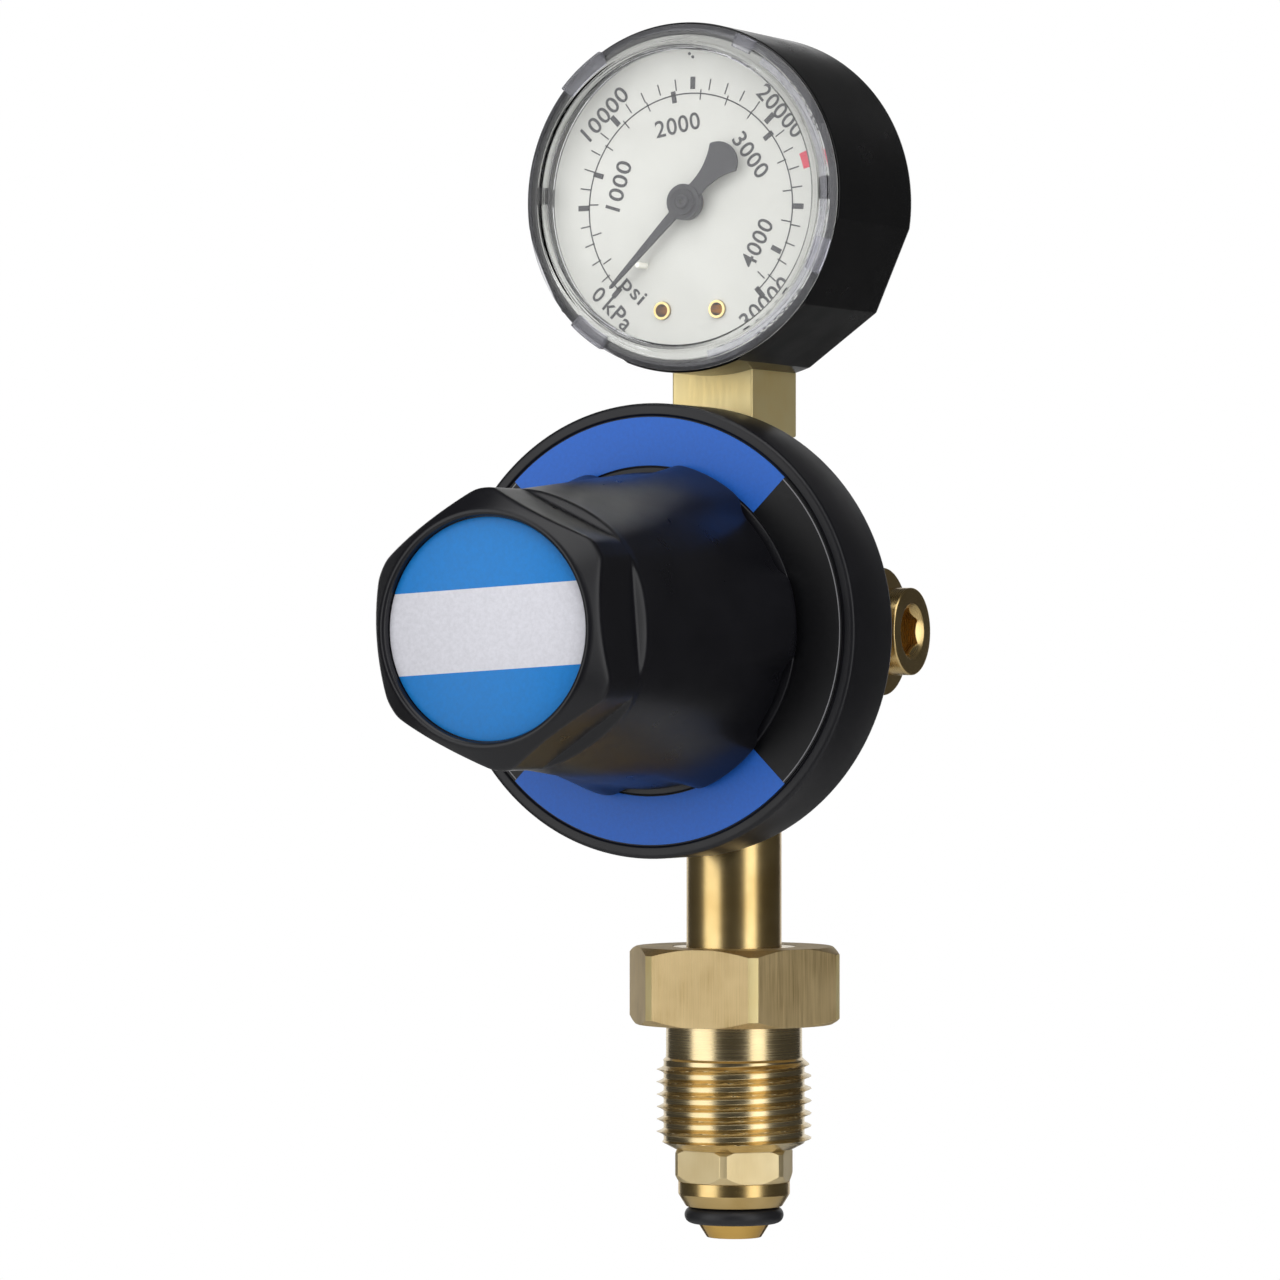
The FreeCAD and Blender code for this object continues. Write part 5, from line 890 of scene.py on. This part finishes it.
def make_stem():
    """The turned stem with its golden nose, and the hexagon of its nipple."""
    points = [
        (STEM_BORE, NOSE_FOOT), (4.0, NOSE_FOOT, 0.12), (NOSE_RADIUS, NOSE_TOP, 0.1),
        (GROOVE_RADIUS, NOSE_TOP + 0.05, 0.1), (GROOVE_RADIUS, GROOVE_TOP, 0.1),
        (7.05, GROOVE_TOP + 0.05, 0.1), (CONE_RADIUS, CONE_TOP, 0.12), (CONE_RADIUS, NIPPLE_FOOT, 0.05),
        (TUBE_RADIUS, NIPPLE_FOOT, 0.05), (TUBE_RADIUS, TUBE_TOP, 0.2), (2.6, TUBE_TOP),
        (STEM_BORE, 60.0), (STEM_BORE, NOSE_FOOT),
    ]
    stem = lathe("inlet_stem_round", "Z", STEM_CENTRE, points, "regulator", "brass", ("inlet_stem",),
                 160, 0.1)
    dress(stem, turned_brass, golden_brass)
    for face in stem.data.polygons:
        if face.center.z < (NOSE_TOP + 0.02) * MM:
            face.material_index = 1

    def profile(angle):
        bar = hexagon_radius(angle, NIPPLE_FLATS, NIPPLE_TURN, NIPPLE_CORNER)
        top = min(bar, NIPPLE_CORNER - 0.5)
        low = min(bar, NIPPLE_CORNER - 0.85)
        return [(NIPPLE_BORE, NIPPLE_TOP), (top, NIPPLE_TOP), (bar, NIPPLE_TOP - (bar - top)),
                (bar, NIPPLE_FOOT + (bar - low) * 1.25), (low, NIPPLE_FOOT), (NIPPLE_BORE, NIPPLE_FOOT)]

    angles = hexagon_angles(NIPPLE_CORNER, NIPPLE_FLATS, NIPPLE_TURN)
    form = columns("Z", STEM_CENTRE, angles, profile)
    nipple = add_mesh("nipple_hexagon", *form, "regulator", "brass", (), sharp=15)
    bevel(nipple, 0.08, 2, 12)
    dress(nipple, flat_brass)


# Inlet nut: its hexagon, collar and thread
NUT_FLATS, NUT_CORNER, NUT_CHAMFER = 28.6, 16.1, 1.7
NUT_FOOT, NUT_TOP, NUT_HOLE = 16.8, 28.1, 9.0
NUT_BORE, COLLAR_RADIUS, COLLAR_FOOT = 7.02, 9.95, 12.4
THREAD_PITCH, CREST, ROOT = 1.814, 11.38, 10.3
THREAD_LOW, THREAD_HIGH, THREAD_ROWS = -1.4, 11.9, 170
LEAD_RADIUS, LEAD_LENGTH = 8.75, 1.4
RUN_OUT, RUN_OUT_SLOPE = 10.6, 1.1


def thread_height(along, angle, pitch, trough, power=1.0):
    """Height of a thread from 0 at its root to 1 at its crest, where trough is the root's share."""
    phase = ((along - pitch * angle / TAU) / pitch) % 1.0
    return max(0.0, (abs(phase - 0.5) * 2 - trough) / (1 - trough)) ** power


def make_nut():
    """The chamfered hexagon, and the shank with its collar and thread."""
    drop = NUT_CHAMFER * math.tan(math.radians(30))

    def profile(angle):
        bar = hexagon_radius(angle, NUT_FLATS, NUT_TURN, NUT_CORNER)
        inner = min(bar, NUT_CORNER - NUT_CHAMFER)
        lift = (bar - inner) / NUT_CHAMFER * drop
        return [(NUT_HOLE, NUT_TOP), (inner, NUT_TOP), (bar, NUT_TOP - lift), (bar, NUT_FOOT + lift),
                (inner, NUT_FOOT), (NUT_HOLE, NUT_FOOT)]

    angles = hexagon_angles(NUT_CORNER, NUT_FLATS, NUT_TURN)
    form = columns("Z", STEM_CENTRE, angles, profile)
    hexagon = add_mesh("nut_hexagon", *form, "inlet_nut", "brass", ("inlet_nut",), sharp=15)
    dress(hexagon, brushed_brass, pale_brass)
    # The turned corners take the pale brass: a real turned finish, made paler than the flats as painted
    # highlight
    for face in hexagon.data.polygons:
        middle = face.center / MM
        if math.hypot(middle.x, middle.y) > NUT_CORNER - 0.1:
            face.material_index = 1
    bevel(hexagon, 0.12, 3, 12)

    def thread(angle):
        out = [(NUT_BORE, 28.05), (NUT_HOLE, 28.05), (NUT_HOLE, NUT_FOOT + 0.1),
               (COLLAR_RADIUS, NUT_FOOT + 0.1), (COLLAR_RADIUS, 14.0), (COLLAR_RADIUS, COLLAR_FOOT),
               (COLLAR_RADIUS + 0.05, COLLAR_FOOT - 0.3)]
        for k in range(THREAD_ROWS + 1):
            z = THREAD_HIGH + (THREAD_LOW - THREAD_HIGH) * k / THREAD_ROWS
            tooth = thread_height(z, angle, THREAD_PITCH, 0.34, 1.7)
            r = ROOT + (CREST - ROOT) * tooth
            into = (z - THREAD_LOW) / LEAD_LENGTH
            lead = LEAD_RADIUS + into * (CREST - LEAD_RADIUS)
            start = CREST - max(0.0, z - RUN_OUT) * RUN_OUT_SLOPE
            out.append((max(LEAD_RADIUS - 0.05, min(r, lead, start)), z))
        out += [(8.6, THREAD_LOW), (7.25, THREAD_LOW), (NUT_BORE, THREAD_LOW + 0.2)]
        return out

    form = columns("Z", STEM_CENTRE, even(192), thread, closed=True)
    dress(add_mesh("nut_threaded_shank", *form, "inlet_nut", "brass", (), sharp=40), thread_brass)


def make_seal():
    """The O-ring on the nose."""
    def profile(angle):
        return [(SEAL_RADIUS + SEAL_WIRE * math.cos(t), SEAL_WIRE * math.sin(t)) for t in even(28)]

    form = columns("Z", (0, 0, SEAL_HEIGHT), even(128), profile, closed=True)
    dress(add_mesh("inlet_seal_ring", *form, "regulator", "rubber", ("inlet_o_ring",)), rubber)


# Port plug in the right-hand boss: places along X, and radii
PLUG_FOOT, PLUG_SEAT, PLUG_FACE = 16, 24.05, 28.7
PLUG_SHANK, PLUG_HEAD, PLUG_MOUTH = 5.0, 6.3, 4.1
KEY_FLATS, KEY_CORNER, KEY_DEPTH = 6, 3.5, 4.7


def make_plug():
    """Plug with a hexagon socket."""
    def profile(angle):
        wall = hexagon_radius(angle, KEY_FLATS, PLUG_TURN, KEY_CORNER)
        mouth = PLUG_FACE - 1.1 * (PLUG_MOUTH - wall) / (PLUG_MOUTH - 2.9)
        return soft_profile([
            (PLUG_SHANK, PLUG_FOOT), (PLUG_SHANK, PLUG_SEAT, 0), (5.8, PLUG_SEAT, 0.1),
            (PLUG_HEAD, 24.9, 0.15), (PLUG_HEAD, PLUG_FACE, 0.3), (PLUG_MOUTH, PLUG_FACE, 0.15),
            (wall, mouth, 0.1), (wall, PLUG_FACE - KEY_DEPTH, 0.1), (0.01, PLUG_FACE - KEY_DEPTH - 0.5),
        ])

    form = columns("X", KNOB_CENTRE, even(144, PLUG_TURN), profile)
    dress(add_mesh("port_plug_head", *form, "regulator", "brass", ("port_plug",), sharp=40), side_brass)


# Outlet fitting on the left: places along X, and radii
OUTLET_ROOT_END, OUTLET_HEX_IN, OUTLET_HEX_OUT = -17.8, -27.8, -34.3
OUTLET_FLATS, OUTLET_CORNER, OUTLET_CHAMFER = 19, 10.9, 1.5
OUTLET_SHANK, OUTLET_NECK, OUTLET_BORE = 6.5, 6.8, 4.0
OUTLET_PITCH, OUTLET_CREST, OUTLET_ROOT = 1.411, 7.94, 7.1
OUTLET_START, OUTLET_END, OUTLET_ROWS = -35.5, -49.0, 140


def make_outlet():
    """Fitting with a hexagon, a run-out and a male thread."""
    def profile(angle):
        bar = hexagon_radius(angle, OUTLET_FLATS, 0, OUTLET_CORNER)
        inner = min(bar, OUTLET_CORNER - OUTLET_CHAMFER)
        lift = (bar - inner) * 0.55
        out = [(OUTLET_SHANK, OUTLET_ROOT_END), (OUTLET_SHANK, OUTLET_HEX_IN), (inner, OUTLET_HEX_IN),
               (bar, OUTLET_HEX_IN - lift), (bar, OUTLET_HEX_OUT + lift), (inner, OUTLET_HEX_OUT),
               (OUTLET_NECK, OUTLET_HEX_OUT), (OUTLET_NECK, OUTLET_START + 0.2)]
        for k in range(OUTLET_ROWS + 1):
            x = OUTLET_START + (OUTLET_END - OUTLET_START) * k / OUTLET_ROWS
            r = OUTLET_ROOT + (OUTLET_CREST - OUTLET_ROOT) * thread_height(x, angle, OUTLET_PITCH, 0.3)
            lead = OUTLET_CREST - max(0.0, OUTLET_END + 1.0 - x) * 0.85
            out.append((min(r, lead), x))
        out += [(OUTLET_NECK, OUTLET_END), (5.8, OUTLET_END), (OUTLET_BORE, OUTLET_END + 2.0),
                (OUTLET_BORE, OUTLET_ROOT_END)]
        return out

    angles = hexagon_angles(OUTLET_CORNER, OUTLET_FLATS, 0, 10)
    form = columns("X", KNOB_CENTRE, angles, profile, closed=True)
    fitting = add_mesh("outlet_thread_fitting", *form, "regulator", "brass", ("outlet_fitting",), sharp=25)
    dress(fitting, side_brass)


for make in (make_knob, make_knob_label, make_bonnet, make_ring_label, make_case, make_lens, make_cap_lugs,
             make_scale, make_figures, make_dial_marks, make_pointer_dimple, make_socket, make_stem, make_nut,
             make_seal, make_plug, make_outlet):
    make()

# CAD pieces that keep their own mesh
for mat, names in (
    (body_brass, "body rear_cap relief_body relief_cap relief_disc valve_nozzle valve_stem"),
    (body_brass, "movement_back_plate movement_front_plate"),
    (rivet_brass, "dial_eyelets tube_tip movement_pillars sector_gear pinion_arbor movement_link"),
    (rubber, "blowout_plug port_plug_seal rear_cap_seal diaphragm"),
    (steel, "relief_spring valve_spring main_spring"),
    (zinc, "spring_button adjusting_screw"),
    (aluminium, "diaphragm_plate diaphragm_washer"),
    (seat_plastic, "valve_seat_disc slip_ring"),
    (tube_bronze, "bourdon_tube hairspring"),
    (dial_white, "gauge_dial"),
    (pointer_grey, "pointer"),
    (peg_white, "pointer_stop"),
    (sintered, "inlet_filter"),
):
    for name in names.split():
        dress_node(name, mat)


# Camera at the photograph's place
AZIMUTH = math.radians(27.178)
PITCH = math.radians(-0.277)
DISTANCE = 863.532
AIM_ACROSS, AIM_UP = -13.746, -1.166
FOCAL = 166.119
SENSOR = 36


def make_camera():
    """The camera, turned about the knob's axis and looking slightly up."""
    level = math.cos(PITCH)
    back = Vector((math.sin(AZIMUTH) * level, -math.cos(AZIMUTH) * level, math.sin(PITCH)))
    right = Vector((math.cos(AZIMUTH), math.sin(AZIMUTH), 0))
    up = back.cross(right)
    data = bpy.data.cameras.new("camera")
    data.sensor_width = SENSOR
    data.lens = FOCAL
    data.clip_start = 0.01
    data.clip_end = 20
    camera = bpy.data.objects.new("camera", data)
    place = (right * AIM_ACROSS + up * AIM_UP + back * DISTANCE + Vector(KNOB_CENTRE)) * MM
    camera.matrix_world = Matrix((
        (right.x, up.x, back.x, place.x), (right.y, up.y, back.y, place.y), (right.z, up.z, back.z, place.z),
        (0, 0, 0, 1),
    ))
    link(camera)
    bpy.context.scene.camera = camera


# Studio, in metres. Brightness 1 is white; the tent's window and the lamps stand by degrees from
# the camera's line.
PART_MIDDLE = Vector((0, 0, 0.074))
ROOM_LEVEL = 0.30
WHITE, FLOOR_COLOUR, TENT_COLOUR = (1, 1, 1, 1), (0.95, 0.95, 0.95, 1), (0.1, 0.1, 0.1, 1)
FLOOR_RADIUS, FLOOR_HEIGHT, FLOOR_LIFT = 0.6, -0.30, 0.46
TENT_RADIUS, TENT_LEVEL = 2.4, 0.04
TENT_COLUMNS, TENT_ROWS = 72, 36
WINDOW_HALF = 30
WINDOW_LOW, WINDOW_HIGH = -15, 20
# Each lamp: azimuth, elevation and distance, then width, height and brightness
LAMPS = {
    "left_box": (-56, 5, 1.0, 0.76, 1.3, 1.6),
    "right_box": (40, 5, 1.0, 0.5, 1.3, 1.9),
    "top_box": (-10, 62, 1.0, 1.0, 0.8, 2.0),
    "front_fill": (0, 20, 1.3, 1.3, 1.3, 0.9),
}


def round_the_part(azimuth, elevation, distance):
    """A place by its angle to the right of the camera's line and its height in degrees."""
    turn = AZIMUTH + math.radians(azimuth)
    lift = math.radians(elevation)
    flat = distance * math.cos(lift)
    return Vector((flat * math.sin(turn), -flat * math.cos(turn), distance * math.sin(lift))) + PART_MIDDLE


def stage_piece(name, verts, faces, mat):
    """A piece of the studio, which is no part of the object."""
    mesh = bpy.data.meshes.new(name)
    mesh.from_pydata(verts, [], faces)
    mesh.materials.append(mat)
    piece = bpy.data.objects.new(name, mesh)
    link(piece)
    return piece


def make_floor():
    """Round pale table well under the part, which the photograph shows hanging free."""
    mat, tree, shader = new_material("floor_white")
    seen = node(tree, "ShaderNodeLightPath").outputs["Is Camera Ray"]
    set_inputs(shader, {"Base Color": FLOOR_COLOUR, "Roughness": 0.9, "Emission Color": WHITE,
                        "Emission Strength": arithmetic(tree, "MULTIPLY", seen, FLOOR_LIFT)})
    rim = [(FLOOR_RADIUS * math.cos(a), FLOOR_RADIUS * math.sin(a), FLOOR_HEIGHT) for a in even(96)]
    stage_piece("floor", rim, [tuple(range(96))], mat)


def make_tent():
    """Dark cloth all round the studio but for a window on the backdrop behind the part."""
    mat, _, shader = new_material("tent_cloth")
    set_inputs(shader, {"Base Color": TENT_COLOUR, "Roughness": 1.0, "Emission Color": WHITE,
                        "Emission Strength": TENT_LEVEL})
    verts = [round_the_part(360 * i / TENT_COLUMNS, -90 + 180 * j / TENT_ROWS, TENT_RADIUS)
             for j in range(TENT_ROWS + 1) for i in range(TENT_COLUMNS)]
    faces = []
    for j in range(TENT_ROWS):
        low = -90 + 180 * j / TENT_ROWS
        for i in range(TENT_COLUMNS):
            from_behind = abs(360 * (i + 0.5) / TENT_COLUMNS - 180)
            if from_behind < WINDOW_HALF and WINDOW_LOW <= low < WINDOW_HIGH:
                continue
            n = (i + 1) % TENT_COLUMNS
            row, above = j * TENT_COLUMNS, (j + 1) * TENT_COLUMNS
            faces.append((row + i, row + n, above + n, above + i))
    tent = stage_piece("tent", verts, faces, mat)
    tent.visible_camera = False


def make_world():
    """White backdrop behind everything, and a plain grey level for soft light."""
    world = bpy.data.worlds.new("studio")
    bpy.context.scene.world = world
    world.use_nodes = True
    tree = world.node_tree
    room = tree.nodes["Background"]
    set_inputs(room, {"Color": WHITE, "Strength": ROOM_LEVEL})
    white = node(tree, "ShaderNodeBackground")
    set_inputs(white, {"Color": WHITE, "Strength": 1.0})
    path = node(tree, "ShaderNodeLightPath")
    seen = arithmetic(tree, "MAXIMUM", path.outputs["Is Camera Ray"], path.outputs["Is Glossy Ray"])
    seen = arithmetic(tree, "MAXIMUM", seen, path.outputs["Is Transmission Ray"])
    mix_shaders(tree, seen, room, white, "World Output")


def softbox(name, place, width, height, level):
    """A rectangular lamp facing the part, of a given brightness."""
    data = bpy.data.lights.new(name, "AREA")
    data.shape = "RECTANGLE"
    data.size = width
    data.size_y = height
    data.energy = level * math.pi * width * height
    lamp = bpy.data.objects.new(name, data)
    lamp.location = place
    lamp.rotation_euler = (PART_MIDDLE - place).to_track_quat("-Z", "Y").to_euler()
    link(lamp)
    return lamp


make_camera()
make_floor()
make_tent()
make_world()
for name, (azimuth, elevation, distance, *rest) in LAMPS.items():
    box = softbox(name, round_the_part(azimuth, elevation, distance), *rest)
    box.visible_glossy = name != "front_fill"

bpy.context.scene.view_settings.view_transform = "Standard"
